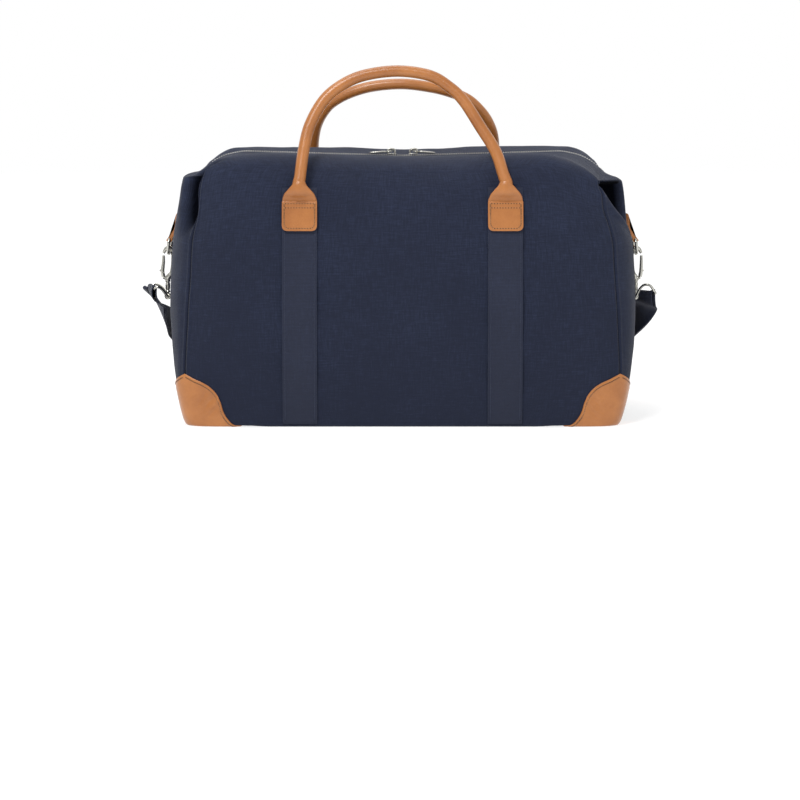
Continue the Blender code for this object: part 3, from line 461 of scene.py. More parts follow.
def math_node(add, join, operation, a, b=None, clamp=False):
    node = add("ShaderNodeMath", operation=operation, use_clamp=clamp)
    for k, value in enumerate((a, b)):
        if value is None:
            continue
        if isinstance(value, (int, float)):
            node.inputs[k].default_value = value
        else:
            join(value, node.inputs[k])
    return node


def mix_colour(add, join, factor, a, b):
    node = add("ShaderNodeMix", data_type="RGBA")
    for socket, value in ((node.inputs[0], factor), (node.inputs[6], a), (node.inputs[7], b)):
        if isinstance(value, (int, float)):
            socket.default_value = value
        elif isinstance(value, tuple):
            socket.default_value = (*value, 1.0)
        else:
            join(value, socket)
    return node.outputs[2]


def noise_node(add, join, place, scale, detail=3.0, rough=0.5, stretch=None):
    node = add("ShaderNodeTexNoise", Scale=scale, Detail=detail, Roughness=rough)
    if stretch:
        mapping = add("ShaderNodeMapping")
        mapping.inputs["Scale"].default_value = stretch
        join(place, mapping.inputs["Vector"])
        join(mapping, node.inputs["Vector"])
    else:
        join(place, node.inputs["Vector"])
    return node.outputs[0]


def threads(add, join, place, period, axis, distort=0.6):
    """A band of threads across the given axis of the uv map, one for each period."""
    node = add(
        "ShaderNodeTexWave", wave_type="BANDS", bands_direction=axis, Scale=math.pi / (10 * period),
        Distortion=distort,
    )
    node.inputs["Detail"].default_value = 1.0
    node.inputs["Detail Scale"].default_value = 3.0
    join(place, node.inputs["Vector"])
    return node.outputs[1]


def cloth(name, dark, light, warp, weft, bump, rough=0.86, sheen=0.25, slub=0.5, plain=0.0):
    made, shader, add, join = new_material(name)
    coordinates = add("ShaderNodeTexCoord")
    uv, place = coordinates.outputs["UV"], coordinates.outputs["Object"]
    warps = threads(add, join, uv, warp, "X")
    wefts = threads(add, join, uv, weft, "Y")
    weave = math_node(add, join, "MULTIPLY_ADD", wefts, 0.5)
    join(math_node(add, join, "MULTIPLY", warps, 0.5), weave.inputs[2])
    slub_x = noise_node(add, join, uv, 1.0, 3.0, 0.75, (620.0, 60.0, 1.0))
    slub_y = noise_node(add, join, uv, 1.0, 3.0, 0.75, (60.0, 620.0, 1.0))
    slubs = math_node(add, join, "ADD", slub_x, slub_y)
    slubs = math_node(add, join, "MULTIPLY", slubs, 0.5)
    cloud = noise_node(add, join, place, 14.0, 4.0, 0.55)
    tone = math_node(add, join, "MULTIPLY_ADD", slubs, 4.2 * slub)
    join(math_node(add, join, "MULTIPLY_ADD", weave, 0.45), tone.inputs[2])
    tone.inputs[2].links[0].from_node.inputs[2].default_value = -0.25 - 1.85 * slub
    tone = math_node(add, join, "ADD", tone, math_node(add, join, "MULTIPLY_ADD", cloud, 0.45))
    tone.inputs[1].links[0].from_node.inputs[2].default_value = -0.22
    # painted light and shade: the cloth's tone is made lighter towards the top and darker towards the base, as light
    # from above falls on the bag
    parts = add("ShaderNodeSeparateXYZ")
    join(place, parts.inputs[0])
    height = math_node(add, join, "MULTIPLY_ADD", parts.outputs["Z"], 2.2, clamp=True)
    height.inputs[2].default_value = 0.12
    level = math_node(add, join, "MULTIPLY_ADD", height, 0.42)
    level.inputs[2].default_value = plain - 0.22
    tone = math_node(add, join, "ADD", tone, level, clamp=True)
    # painted shade: the deeper a point lies in a fold (the fold attribute), the more the cloth's colour is drawn
    # towards black and its sheen and specular turned down
    fold = add("ShaderNodeAttribute")
    fold.attribute_name = "fold"
    unshaded_share = math_node(add, join, "MULTIPLY_ADD", fold.outputs["Fac"], -0.92, clamp=True)
    unshaded_share.inputs[2].default_value = 1.0
    colour = mix_colour(add, join, tone, dark, light)
    join(mix_colour(add, join, unshaded_share, (0.0, 0.0, 0.0), colour), shader.inputs["Base Color"])
    join(math_node(add, join, "MULTIPLY", unshaded_share, sheen), shader.inputs["Sheen Weight"])
    join(math_node(add, join, "MULTIPLY", unshaded_share, 0.28), shader.inputs["Specular IOR Level"])
    roughness = math_node(add, join, "MULTIPLY_ADD", slubs, 0.12)
    roughness.inputs[2].default_value = rough - 0.06
    join(roughness, shader.inputs["Roughness"])
    shader.inputs["Sheen Roughness"].default_value = 0.45
    height = math_node(add, join, "MULTIPLY_ADD", slubs, 1.6)
    join(weave, height.inputs[2])
    raise_it = add("ShaderNodeBump", Strength=bump, Distance=0.0006)
    join(height, raise_it.inputs["Height"])
    join(raise_it, shader.inputs["Normal"])
    return made


def leather(name, dark, light, rough=0.42, grain=1.0):
    made, shader, add, join = new_material(name)
    coordinates = add("ShaderNodeTexCoord")
    place = coordinates.outputs["Object"]
    cloud = noise_node(add, join, place, 26.0, 5.0, 0.6)
    fine = noise_node(add, join, place, 420.0, 3.0, 0.6)
    cells = add("ShaderNodeTexVoronoi", Scale=1100.0)
    join(place, cells.inputs["Vector"])
    creases = noise_node(add, join, place, 60.0, 6.0, 0.7)
    tone = math_node(add, join, "MULTIPLY_ADD", fine, 0.30)
    join(math_node(add, join, "MULTIPLY_ADD", cloud, 1.4), tone.inputs[2])
    tone.inputs[2].links[0].from_node.inputs[2].default_value = -0.38
    clamp = math_node(add, join, "ADD", tone, 0.0, clamp=True)
    join(mix_colour(add, join, clamp, dark, light), shader.inputs["Base Color"])
    roughness = math_node(add, join, "MULTIPLY_ADD", creases, 0.22)
    roughness.inputs[2].default_value = rough - 0.11
    join(roughness, shader.inputs["Roughness"])
    shader.inputs["Coat Weight"].default_value = 0.20
    shader.inputs["Coat Roughness"].default_value = 0.22
    height = math_node(add, join, "MULTIPLY_ADD", cells.outputs["Distance"], 0.8 * grain)
    join(math_node(add, join, "MULTIPLY", creases, 1.2), height.inputs[2])
    raise_it = add("ShaderNodeBump", Strength=0.30, Distance=0.0006)
    join(height, raise_it.inputs["Height"])
    join(raise_it, shader.inputs["Normal"])
    return made


def metal(name, colour, rough=0.24):
    made, shader, add, join = new_material(name)
    coordinates = add("ShaderNodeTexCoord")
    place = coordinates.outputs["Object"]
    smudge = noise_node(add, join, place, 160.0, 4.0, 0.6)
    fine = noise_node(add, join, place, 900.0, 2.0, 0.5)
    dull = tuple(c * 0.80 for c in colour)
    join(mix_colour(add, join, smudge, dull, colour), shader.inputs["Base Color"])
    shader.inputs["Metallic"].default_value = 1.0
    roughness = math_node(add, join, "MULTIPLY_ADD", smudge, 0.16)
    roughness.inputs[2].default_value = rough - 0.08
    join(roughness, shader.inputs["Roughness"])
    raise_it = add("ShaderNodeBump", Strength=0.05, Distance=0.0002)
    join(fine, raise_it.inputs["Height"])
    join(raise_it, shader.inputs["Normal"])
    return made


CANVAS_CLOTH = cloth(
    "canvas", (0.0085, 0.0125, 0.0300), (0.0310, 0.0430, 0.0900), 0.00100, 0.00100, 0.60, 0.9, 0.10
)
STRAP_CLOTH = cloth(
    "webbing", (0.0100, 0.0140, 0.0330), (0.0350, 0.0470, 0.0980), 0.00075, 0.00150, 0.60, 0.62, 0.12, 0.3
)
TAPE_CLOTH = cloth("zip_tape", (0.0100, 0.0130, 0.026), (0.028, 0.035, 0.066), 0.00060, 0.00090, 0.45)
LINING_CLOTH = cloth("lining", (0.040, 0.046, 0.066), (0.075, 0.084, 0.115), 0.00050, 0.00050, 0.3, 0.7)
TAN = leather("tan_leather", (0.285, 0.092, 0.018), (0.490, 0.188, 0.046), 0.33)
NICKEL = metal("nickel", (0.58, 0.57, 0.52), 0.24)
TEETH = metal("zip_metal", (0.97, 0.95, 0.90), 0.42)
THREAD_TAN = cloth("tan_thread", (0.400, 0.190, 0.080), (0.74, 0.44, 0.22), 0.0004, 0.0004, 0.2)
# painted shade: a dark leather for the dots that stand in for the shade inside the needle holes
HOLE_SHADE = leather("needle_hole_shade", (0.050, 0.018, 0.006), (0.080, 0.030, 0.010), 0.8, 0.0)
THREAD_NAVY = cloth("navy_thread", (0.024, 0.030, 0.056), (0.07, 0.082, 0.135), 0.0004, 0.0004, 0.2)
CORD_COTTON = cloth("cotton_cord", (0.50, 0.46, 0.36), (0.80, 0.76, 0.66), 0.0010, 0.0010, 0.5)
BOARD_FINISH = metal("board", (0.03, 0.03, 0.03), 0.7)
BOARD_FINISH.node_tree.nodes["Principled BSDF"].inputs["Metallic"].default_value = 0.0


def place(piece, body, slot, *nodes):
    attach(piece, body)
    if nodes:
        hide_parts(*nodes)
    return piece


# ---------------------------------------------------------------- canvas panels
TAPE_EDGE_V = 0.070
# painted shade: the canvas is painted darker the deeper a point lies in a fold, fully dark at this depth
FULL_FOLD_SHADE_DEPTH = 0.010  # the depth at which a fold's cloth is fully dark


def panel(name, rows, columns, direction_of, node):
    """A panel of canvas over a grid of directions."""
    d = np.array([direction_of(a, b) for a in rows for b in columns], float)
    outer, inner = skin(d), skin(d, -CANVAS)
    made = closed_sheet(name, outer, inner, len(rows), len(columns), CANVAS_CLOTH)
    # how far each point lies down in a fold, for the painted shade that darkens the cloth's colour there
    points = np.empty(3 * len(made.data.vertices))
    made.data.vertices.foreach_get("co", points)
    depth = np.clip(tuck(*points.reshape(-1, 3).T) / FULL_FOLD_SHADE_DEPTH, 0, 1)
    made.data.attributes.new("fold", "FLOAT", "POINT").data.foreach_set("value", depth)
    return place(made, "root", "canvas", node)


def face_rows(walls, tops):
    rows = [(1.0, w) for w in spaced(walls, 0.6)]
    return rows + [(v, 1.0) for v in np.linspace(1.0, TAPE_EDGE_V, tops)[1:]]


for way, word in WAYS:
    count = (100, 34, 170) if way == FRONT else (70, 30, 120)
    panel(
        f"canvas_{word}", face_rows(count[0], count[1]), spaced(count[2], 0.6),
        lambda row, u, way=way: (u, way * row[0], row[1]), f"{word}_panel",
    )
end_rows = np.concatenate([np.linspace(-1, 0.30, 60)[:-1], np.linspace(0.30, 1.0, 110)])
for side, word in SIDES:
    panel(
        f"canvas_{word}_end", end_rows, spaced(190, 0.3), lambda w, v, side=side: (side, v, w), f"end_panel_{word}"
    )
panel("canvas_base", spaced(40, 0.6), spaced(80, 0.6), lambda v, u: (u, v, -1.0), "base_panel")


# ---------------------------------------------------------------- webbing sewn on the faces
WEBBING_FOOT, WEBBING_TOP = 0.0040, 0.2640


def wave(z, x):
    """The webbing stands off the canvas a little between its ends."""
    z = np.asarray(z, float)
    bulge = 1 + np.sin(math.tau * (z - 0.118 + 0.05 * np.asarray(x)) / 0.085)
    return 0.0011 * bulge * ramp(0.030, 0.070, z) * (1 - ramp(0.200, 0.215, z))


def surface_sheet(name, xs, zs, way, low, thick, finish):
    """A sheet laid on a face over x and z values."""
    a, b = np.meshgrid(xs, zs)
    d = solve("face", a.ravel(), b.ravel(), way)
    crown = 1 - np.abs(np.linspace(-1, 1, len(xs))) ** 6
    lift = np.tile(low + thick * (0.75 + 0.25 * crown), len(zs)) + wave(b.ravel(), a.ravel())
    p, n = shape(d), normals(d)
    r = relief(d, p)
    outer = p + n * (r + lift)[:, None]
    inner = p + n * (r + low + wave(b.ravel(), a.ravel()))[:, None]
    return closed_sheet(name, outer, inner, len(zs), len(xs), finish)


def face_run(points, way, lift):
    """Points and normals on a face along (x, z) points."""
    q = even_line(points, 0.002)
    d = solve("face", q[:, 0], q[:, 1], way)
    n = normals(d)
    return shape(d) + n * (relief(d, shape(d)) + lift)[:, None], n


for way, word in WAYS:
    for side, side_word in SIDES:
        x = side * HANDLE_X
        half = WEBBING_WIDTH / 2
        strip = surface_sheet(
            f"webbing_strap_{word}_{side_word}", np.linspace(x - half, x + half, 19),
            np.linspace(WEBBING_FOOT, WEBBING_TOP, 110), way, GAP, WEBBING, STRAP_CLOTH,
        )
        place(strip, "root", "webbing", f"webbing_{word}_{side_word}")
        lift, inset = GAP + WEBBING, half - 0.0028
        foot, head = WEBBING_FOOT + 0.003, WEBBING_TOP - 0.003
        runs = []
        for edge in (x - inset, x + inset):
            run, outs = face_run([(edge, foot), (edge, head)], way, lift)
            runs.append((run + outs * wave(run[:, 2], run[:, 0])[:, None], outs))
        runs.append(face_run([(x - inset, head), (x + inset, head)], way, lift))
        sewn = stitches(f"webbing_stitches_{word}_{side_word}", runs, THREAD_NAVY, 0.0030, 0.0020, 0.0003)
        place(sewn, "root", "webbing")


# ---------------------------------------------------------------- lining
def bucket(offset):
    """Directions from the mouth over the top, down the walls and across the base."""
    around = []
    for t in np.linspace(0, 4, 97):
        k, f = int(t) % 4, (t % 1) * 2 - 1
        around.append(((f, -1.0), (1.0, f), (-f, 1.0), (-1.0, -f))[k])
    rows = [(1 - 0.10 * k, 1 - 0.91 * k, 1.0) for k in np.linspace(1, 0, 8)]
    rows += [(1.0, 1.0, w) for w in np.linspace(0.94, -0.94, 30)]
    rows += [(k, k, -1.0) for k in np.linspace(1, 0.004, 14)]
    d = np.array([(u * a, v * b, w) for a, b, w in rows for u, v in around])
    found = skin(d, offset).reshape(len(rows), len(around), 3)
    # the lining stays clear of the canvas beside a fold, so it lies as deep as its deepest neighbour
    end = np.abs(np.array([u for u, _ in around])) == 1
    reach = np.where(end, np.abs(found[:, :, 0]), 1.0)
    deep = reach.copy()
    for across in (-2, -1, 0, 1, 2):
        for up in (-2, -1, 0, 1, 2):
            deep = np.minimum(deep, np.roll(reach, (up, across), (0, 1)))
    found[:, :, 0] = np.where(end, np.sign(found[:, :, 0]) * deep, found[:, :, 0])
    return len(rows), len(around), found.reshape(-1, 3)


lining_rows, lining_columns, lining_out = bucket(-0.0052)
lining_in = bucket(-0.0060)[2]
lining_bag = closed_sheet("lining_bag", lining_out, lining_in, lining_rows, lining_columns, LINING_CLOTH)
place(lining_bag, "root", "lining", "lining")


# ---------------------------------------------------------------- leather corners
CORNER_EDGE = (
    (0, 0.0540), (6, 0.0485), (17, 0.0454), (32, 0.0466), (44, 0.0530), (52, 0.0566), (61, 0.0584), (69, 0.0586),
    (79, 0.0584), (85, 0.0592), (90, 0.0600),
)
BASE_REACH = 0.046
# creases that fan out from the corner: turn, spread, depth
CORNER_CREASES = ((0.42, 0.035, 0.0010), (0.58, 0.028, 0.0013), (0.74, 0.030, 0.0009), (1.32, 0.04, 0.0010))


def corner_reach(turn):
    """How far the patch reaches from the corner at turn, 0 to 3: face, end, base, a quarter turn each."""
    turn = np.asarray(turn, float)
    wall = np.where(turn <= 1, turn * 90, (2 - turn) * 90)
    middle = np.abs(turn - 2.5) * 2
    base = BASE_REACH + (CORNER_EDGE[0][1] - BASE_REACH) * middle**2
    return np.where(turn <= 2, read_table(CORNER_EDGE, wall, 1), base)


def corner_directions(side, way, turn, reach):
    angle = (turn % 1) * math.pi / 2
    c, s = reach * np.cos(angle), reach * np.sin(angle)
    k = turn.astype(int) % 3
    along = np.choose(k, [c, np.zeros_like(c), s])
    up = np.choose(k, [s, c, np.zeros_like(c)])
    deep = np.choose(k, [np.zeros_like(c), s, c])
    # the distances are true ones, so what the rounded corner takes up is added
    along = along + 0.0095 * (1 - np.exp(-along / 0.0100))
    deep = deep + 0.0050 * (1 - np.exp(-deep / 0.0060))
    up = up - 0.0060 * (1 - np.exp(-up / 0.0100))
    ways = (side * (1 - along / HALF_LENGTH), way * (1 - deep / HALF_DEPTH), -1 + up / (BAG_TOP / 2))
    return np.stack(ways, axis=1)


def corner_surface(side, way, turn, share, lift):
    """Points and normals of a corner patch; share runs from 0 at the corner to 1 at the patch's edge."""
    reach = corner_reach(turn) * share
    d = corner_directions(side, way, turn, reach)
    p, n = shape(d), normals(d)
    crease = np.zeros_like(turn)
    for at, spread, deep in CORNER_CREASES:
        bend = at + 0.05 * np.sin(5 * share + at * 9) * share
        crease -= deep * bell(turn, bend, spread) * ramp(0.35, 0.75, share) * (1 - 0.6 * ramp(0.9, 1.0, share))
    crease += 0.0009 * bell(turn, 0.50, 0.028) * ramp(0.35, 0.75, share)
    wall = ramp(0.004, 0.016, p[:, 2])
    return p + n * (relief(d, p, 0.0) + crease * wall + lift)[:, None], n


def leather_corner(side, side_word, way, way_word):
    steps, rings = 132, 34
    turns = 3 * np.arange(steps) / steps
    layers = []
    for lift in (0.0004 + LEATHER, 0.0002):
        rows = []
        for ring in range(1, rings + 1):
            share = ring / rings
            drop = (0.55 * LEATHER * ramp(0.965, 1.0, share)) if lift > 0.001 else 0.0
            rows.append(corner_surface(side, way, turns, np.full(steps, share), lift - drop)[0])
        layers.append(np.concatenate([corner_surface(side, way, np.zeros(1), np.zeros(1), lift)[0], *rows]))
    layer = 1 + steps * rings
    faces = []
    for base in (0, layer):
        for k in range(steps):
            after = (k + 1) % steps
            faces.append((base, base + 1 + k, base + 1 + after))
            for ring in range(rings - 1):
                a = base + 1 + ring * steps
                faces.append((a + k, a + steps + k, a + steps + after, a + after))
    last = 1 + (rings - 1) * steps
    for k in range(steps):
        after = (k + 1) % steps
        faces.append((last + k, last + after, layer + last + after, layer + last + k))
    made = make(f"leather_corner_{way_word}_{side_word}", np.concatenate(layers), faces, TAN)
    place(made, "root", "leather", f"corner_{way_word}_{side_word}")
    runs = []
    for low, high in ((0.03, 0.985), (1.015, 1.97)):
        turn = np.linspace(low, high, 60)
        share = 1 - 0.0032 / corner_reach(turn)
        runs.append(corner_surface(side, way, turn, share, 0.0004 + LEATHER))
    sewn = stitches(f"corner_stitches_{way_word}_{side_word}", runs, THREAD_TAN, 0.0031, 0.0021, 0.00030)
    place(sewn, "root", "leather")
    place(needle_holes(f"corner_holes_{way_word}_{side_word}", runs, HOLE_SHADE, 0.0031), "root", "leather")


for way, way_word in WAYS:
    for side, side_word in SIDES:
        leather_corner(side, side_word, way, way_word)


# ---------------------------------------------------------------- handles
TAB_HALF_WIDTH, TAB_FOOT, TAB_NECK, TAB_THICK = 0.0193, 0.2165, 0.2490, 0.0030
PIVOT_Z, PIVOT_Y, HANDLE_RADIUS = 0.258, 0.126, 0.0064
LEAN = {FRONT: math.radians(14), BACK: math.radians(26)}
ARCH = {
    FRONT: (
        (-0.1120, 0.0200), (-0.1085, 0.0480), (-0.1020, 0.0765), (-0.0870, 0.1045), (-0.0670, 0.1222),
        (-0.0415, 0.1335), (-0.0050, 0.1382), (0.0300, 0.1330), (0.0515, 0.1200), (0.0670, 0.1045),
        (0.0845, 0.0765), (0.1020, 0.0470), (0.1100, 0.0220),
    ),
    BACK: (
        (-0.1110, 0.0220), (-0.1075, 0.0490), (-0.1060, 0.0660), (-0.1023, 0.0835), (-0.0946, 0.0997),
        (-0.0834, 0.1130), (-0.0630, 0.1252), (-0.0354, 0.1340), (0.0000, 0.1372), (0.0330, 0.1330),
        (0.0560, 0.1268), (0.0774, 0.1172), (0.0930, 0.1020), (0.1030, 0.0863), (0.1092, 0.0671),
        (0.1115, 0.0380), (0.1125, 0.0200),
    ),
}
TAB_LIFT = 0.0003 + WEBBING + 0.0002


def handle_end(x, way):
    """Stations of a tab from its foot to the start of the tube: centre, half width, half thickness, power."""
    flat = (
        (0.0, 0.72), (0.0005, 0.82), (0.0013, 0.895), (0.0026, 0.955), (0.0045, 0.99), (0.0070, 1.0),
        (0.0110, 1.0), (0.0150, 1.0), (0.0190, 1.0), (0.0230, 1.0), (0.0270, 1.0), (0.0305, 0.998),
        (0.0325, 0.985),
    )
    d = solve("face", np.full(len(flat), x), np.array([TAB_FOOT + rise for rise, _ in flat]), way)
    p = shape(d) + normals(d) * (relief(d, shape(d), 0.0) * 0.5 + TAB_LIFT + TAB_THICK / 2)[:, None]
    rows = [(q, TAB_HALF_WIDTH * share, TAB_THICK / 2, 7.0) for q, (_, share) in zip(p, flat)]
    start = rows[-1][0]
    neck = (
        (0.2520, 0.0184, 0.0016, 0.25, 6.0), (0.2550, 0.0174, 0.0018, 0.50, 5.0),
        (0.2582, 0.0156, 0.0023, 0.78, 4.0), (0.2612, 0.0131, 0.0032, 0.95, 3.2),
        (0.2642, 0.0104, 0.0044, 1.0, 2.6), (0.2670, 0.0080, 0.0056, 1.0, 2.2), (0.2712, 0.0068, 0.0063, 1.0, 2.05),
    )
    lean = math.tan(LEAN[way])
    for z, wide, thick, share, power in neck:
        y = start[1] + (way * PIVOT_Y - start[1]) * share - way * lean * max(0.0, z - PIVOT_Z)
        rows.append((np.array([x, y, z]), wide, thick, power))
    return rows


def handle(way, word):
    angle = way * LEAN[way]
    back, up = -math.sin(angle), math.cos(angle)
    line = [np.array([x, way * PIVOT_Y + back * h, PIVOT_Z + up * h]) for x, h in ARCH[way]]
    rows = handle_end(-HANDLE_X, way)
    rows += [(p, HANDLE_RADIUS, HANDLE_RADIUS, 2.0) for p in line]
    rows += handle_end(HANDLE_X, way)[::-1]
    packed = np.array([(*p, wide, thick, power) for p, wide, thick, power in rows])
    fine = smooth_line(packed, 6)
    centres = fine[:, :3]
    forwards = tangents(centres)
    ends_flat = ramp(0.250, 0.285, centres[:, 2])
    acrosses = []
    for p, t, k in zip(centres, forwards, ends_flat):
        arch = np.cross((0, 1, 0), t)
        plain = np.array([1.0, 0, 0]) if t[2] > 0 else np.array([-1.0, 0, 0])
        acrosses.append((1 - k) * plain + k * arch)
    crown_heights, crown_rises = (0.2485, 0.2540, 0.2590, 0.2640, 0.2700), (0, 0.0022, 0.0034, 0.0018, 0)
    crowns = way * np.interp(centres[:, 2], crown_heights, crown_rises)
    made = sweep(
        f"handle_leather_{word}", centres, forwards, acrosses, fine[:, 3], fine[:, 4], TAN, 48,
        np.maximum(fine[:, 5], 2.0), smooth=70, crowns=crowns,
    )
    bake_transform(made)
    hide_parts(f"handle_{word}", f"handle_tab_{word}_left", f"handle_tab_{word}_right")
    runs = []
    for side, _ in SIDES:
        flat = np.array([(*p, thick) for p, _, thick, _ in handle_end(side * HANDLE_X, way)])

        def on_tab(points):
            q = even_line(points, 0.001)
            middle = np.stack([np.interp(q[:, 1], flat[:, 2], flat[:, k]) for k in range(4)], axis=1)
            slope = np.gradient(middle[:, 1], q[:, 1]) if np.ptp(q[:, 1]) > 1e-4 else np.full(len(q), 0.0)
            out = np.stack([np.zeros(len(q)), np.full(len(q), float(way)), -way * slope], axis=1)
            out /= np.linalg.norm(out, axis=1, keepdims=True)
            inset = 0.94 + 0.06 * (1 - (np.abs(q[:, 0]) / TAB_HALF_WIDTH) ** 7)
            run = np.stack([middle[:, 0] + q[:, 0], middle[:, 1], q[:, 1]], axis=1)
            return run + out * (middle[:, 3] * inset + 0.00005)[:, None], out

        inset = TAB_HALF_WIDTH - 0.0026
        low, high = TAB_FOOT + 0.0030, 0.2465
        runs.append(on_tab([(-inset, high), (-inset, low + 0.004), (-inset + 0.003, low + 0.0001)]))
        runs.append(on_tab([(-inset + 0.003, low), (inset - 0.003, low)]))
        runs.append(on_tab([(inset - 0.003, low + 0.0001), (inset, low + 0.004), (inset, high)]))
        for z in (0.2420, 0.2466):
            runs.append(on_tab([(-inset, z), (inset, z)]))
    place(stitches(f"tab_stitches_{word}", runs, THREAD_TAN, 0.0031, 0.0021, 0.00036), "root", "leather")
    place(needle_holes(f"tab_holes_{word}", runs, HOLE_SHADE, 0.0031, 0.00072), "root", "leather")


for way, word in WAYS:
    handle(way, word)


# ---------------------------------------------------------------- zip
def zip_height(x):
    x = np.atleast_1d(np.asarray(x, float))
    return shape(solve("top", x, np.zeros_like(x), 1))[:, 2] - CANVAS / 2


def zip_spread(x):
    return 0.0003 + 0.0016 * (1 - ramp(0.0105, 0.0155, np.abs(x)))


BOX_FACES = ((0, 1, 3, 2), (4, 6, 7, 5), (0, 4, 5, 1), (2, 3, 7, 6), (0, 2, 6, 4), (1, 5, 7, 3))


def box_into(verts, faces, low, high, narrow=1.0):
    base = len(verts)
    for x in (low[0], high[0]):
        for y, inset in ((low[1], narrow), (high[1], 1.0)):
            middle, half = (low[2] + high[2]) / 2, (high[2] - low[2]) / 2 * inset
            verts += [(x, y, middle - half), (x, y, middle + half)]
    faces += [tuple(base + k for k in f) for f in BOX_FACES]


TOOTH_PITCH = 0.0026
for way, word in WAYS:
    verts, faces = [], []
    xs = np.arange(-ZIP_END + 0.001, ZIP_END - 0.001, TOOTH_PITCH)
    for x, z, spread in zip(xs, zip_height(xs), zip_spread(xs)):
        inner = spread - 0.0002
        low, high = (x - 0.00068, way * inner, z - 0.0013), (x + 0.00068, way * (spread + 0.0019), z + 0.0017)
        box_into(verts, faces, low, high, 0.82)
    place(make(f"zip_chain_{word}", verts, faces, TEETH, smooth=30), "root", "nickel", f"zip_teeth_{word}")
    xs = np.linspace(-ZIP_END - 0.004, ZIP_END + 0.004, 150)
    ys = np.linspace(0, 1, 7)
    spread = zip_spread(xs) + 0.0016
    outer = []
    for t in ys:
        y = way * (spread + (0.0092 - spread) * t)
        d = solve("top", xs, y, 1)
        z = zip_height(xs) + t * (shape(d)[:, 2] - 0.0012 - zip_height(xs))
        outer.append(np.stack([xs, y, z + 0.00055], axis=1))
    outer = np.concatenate(outer)
    inner = outer - np.array([0, 0, 0.0008])
    tape = closed_sheet(f"zip_tape_cloth_{word}", outer, inner, len(ys), len(xs), TAPE_CLOTH)
    place(tape, "root", "webbing", f"zip_tape_{word}")
    for row, distance in enumerate((0.0110, 0.0145)):
        line = np.stack([np.linspace(-ZIP_END, ZIP_END, 200), np.full(200, way * distance)], axis=1)
        d = solve("top", line[:, 0], line[:, 1], 1)
        n = normals(d)
        run = [(shape(d) + n * (relief(d, shape(d)) + 0.0001)[:, None], n)]
        sewn = stitches(f"zip_stitches_{word}_{row}", run, THREAD_NAVY, 0.0036, 0.0024, 0.00030)
        place(sewn, "root", "canvas")


def framed(points, origin, angle):
    """Points turned about Y by angle and moved to origin."""
    p = np.asarray([tuple(q) for q in points], float)
    c, s = math.cos(angle), math.sin(angle)
    turned = np.stack([p[:, 0] * c + p[:, 2] * s, p[:, 1], -p[:, 0] * s + p[:, 2] * c], axis=1)
    return turned + np.asarray(origin, float)


PULL_DOWN = math.radians(6.5)
for side, word in SIDES:
    origin, angle = (side * 0.012, 0, 0.297147), -side * ZIP_SLOPE
    inner, outer = -0.0050, 0.0060

    def on_zip(points):
        return framed([(side * x, y, z) for x, y, z in points], origin, angle)

    forward = framed([(side, 0, 0)], (0, 0, 0), angle)[0]
    plates = []
    for name, z in (("top", 0.0025), ("under", -0.0025)):
        stations = (
            (inner, 0.0022, 0.0003), (inner + 0.0006, 0.0030, 0.0006), (inner + 0.0020, 0.0038, 0.0007),
            (inner + 0.0050, 0.0043, 0.0007), (outer - 0.0030, 0.0038, 0.0007), (outer - 0.0008, 0.0034, 0.0006),
            (outer, 0.0028, 0.0003),
        )
        line = on_zip([(x, 0, z) for x, _, _ in stations])
        made = sweep(f"slider_{name}_{word}", line, [forward] * len(line), [(0, 1, 0)] * len(line),
                     [s[1] for s in stations], [s[2] for s in stations], NICKEL, 28, 4.0)
        plates.append(made)
    line = on_zip([(inner + 0.0014, 0, -0.0024), (inner + 0.0014, 0, 0.0024)])
    post = sweep(f"slider_post_{word}", line, [(0, 0, 1)] * 2, [(0, 1, 0)] * 2, 0.0010, 0.0012, NICKEL, 16, 3.0)
    plates.append(post)
    line = on_zip([
        (inner + 0.0018, 0, 0.0024), (inner + 0.0020, 0, 0.0056), (inner + 0.0030, 0, 0.0074),
        (inner + 0.0052, 0, 0.0078), (outer - 0.0030, 0, 0.0078), (outer - 0.0014, 0, 0.0066),
        (outer - 0.0012, 0, 0.0024),
    ])
    plates.append(wire(f"slider_bridge_{word}", line, 0.0013, NICKEL, sides=16, steps=6))
    for piece in plates:
        place(piece, f"slider_{word}", "nickel", f"slider_{word}")

    hinge, tilt = (side * 0.013846, 0, 0.302503), side * (PULL_DOWN - ZIP_SLOPE)

    def on_pull(points):
        return framed([(side * x, y, z) for x, y, z in points], hinge, tilt)

    forward = framed([(side, 0, 0)], (0, 0, 0), tilt)[0]
    eye = [(0.0021 + 0.0032 * math.cos(a), 0.0030 * math.sin(a), 0) for a in np.linspace(0, math.tau, 13)[:-1]]
    pulls = [wire(f"pull_eye_{word}", on_pull(eye), 0.0008, NICKEL, closed=True, sides=14, across=(0, 0, 1))]
    stations = (
        (0.0050, 0.0016, 0.0007), (0.0058, 0.0027, 0.0012), (0.0072, 0.0034, 0.0013), (0.0100, 0.0036, 0.0013),
        (0.0160, 0.0036, 0.0013), (0.0205, 0.0035, 0.0013), (0.0224, 0.0031, 0.0012), (0.0234, 0.0024, 0.0010),
        (0.0240, 0.0012, 0.0006),
    )
    line = on_pull([(x, 0, 0) for x, _, _ in stations])
    pulls.append(sweep(f"pull_bar_{word}", line, [forward] * len(line), [(0, 1, 0)] * len(line),
                       [s[1] for s in stations], [s[2] for s in stations], NICKEL, 28, 5.0))
    for piece in pulls:
        place(piece, f"pull_{word}", "nickel", f"zip_pull_{word}")


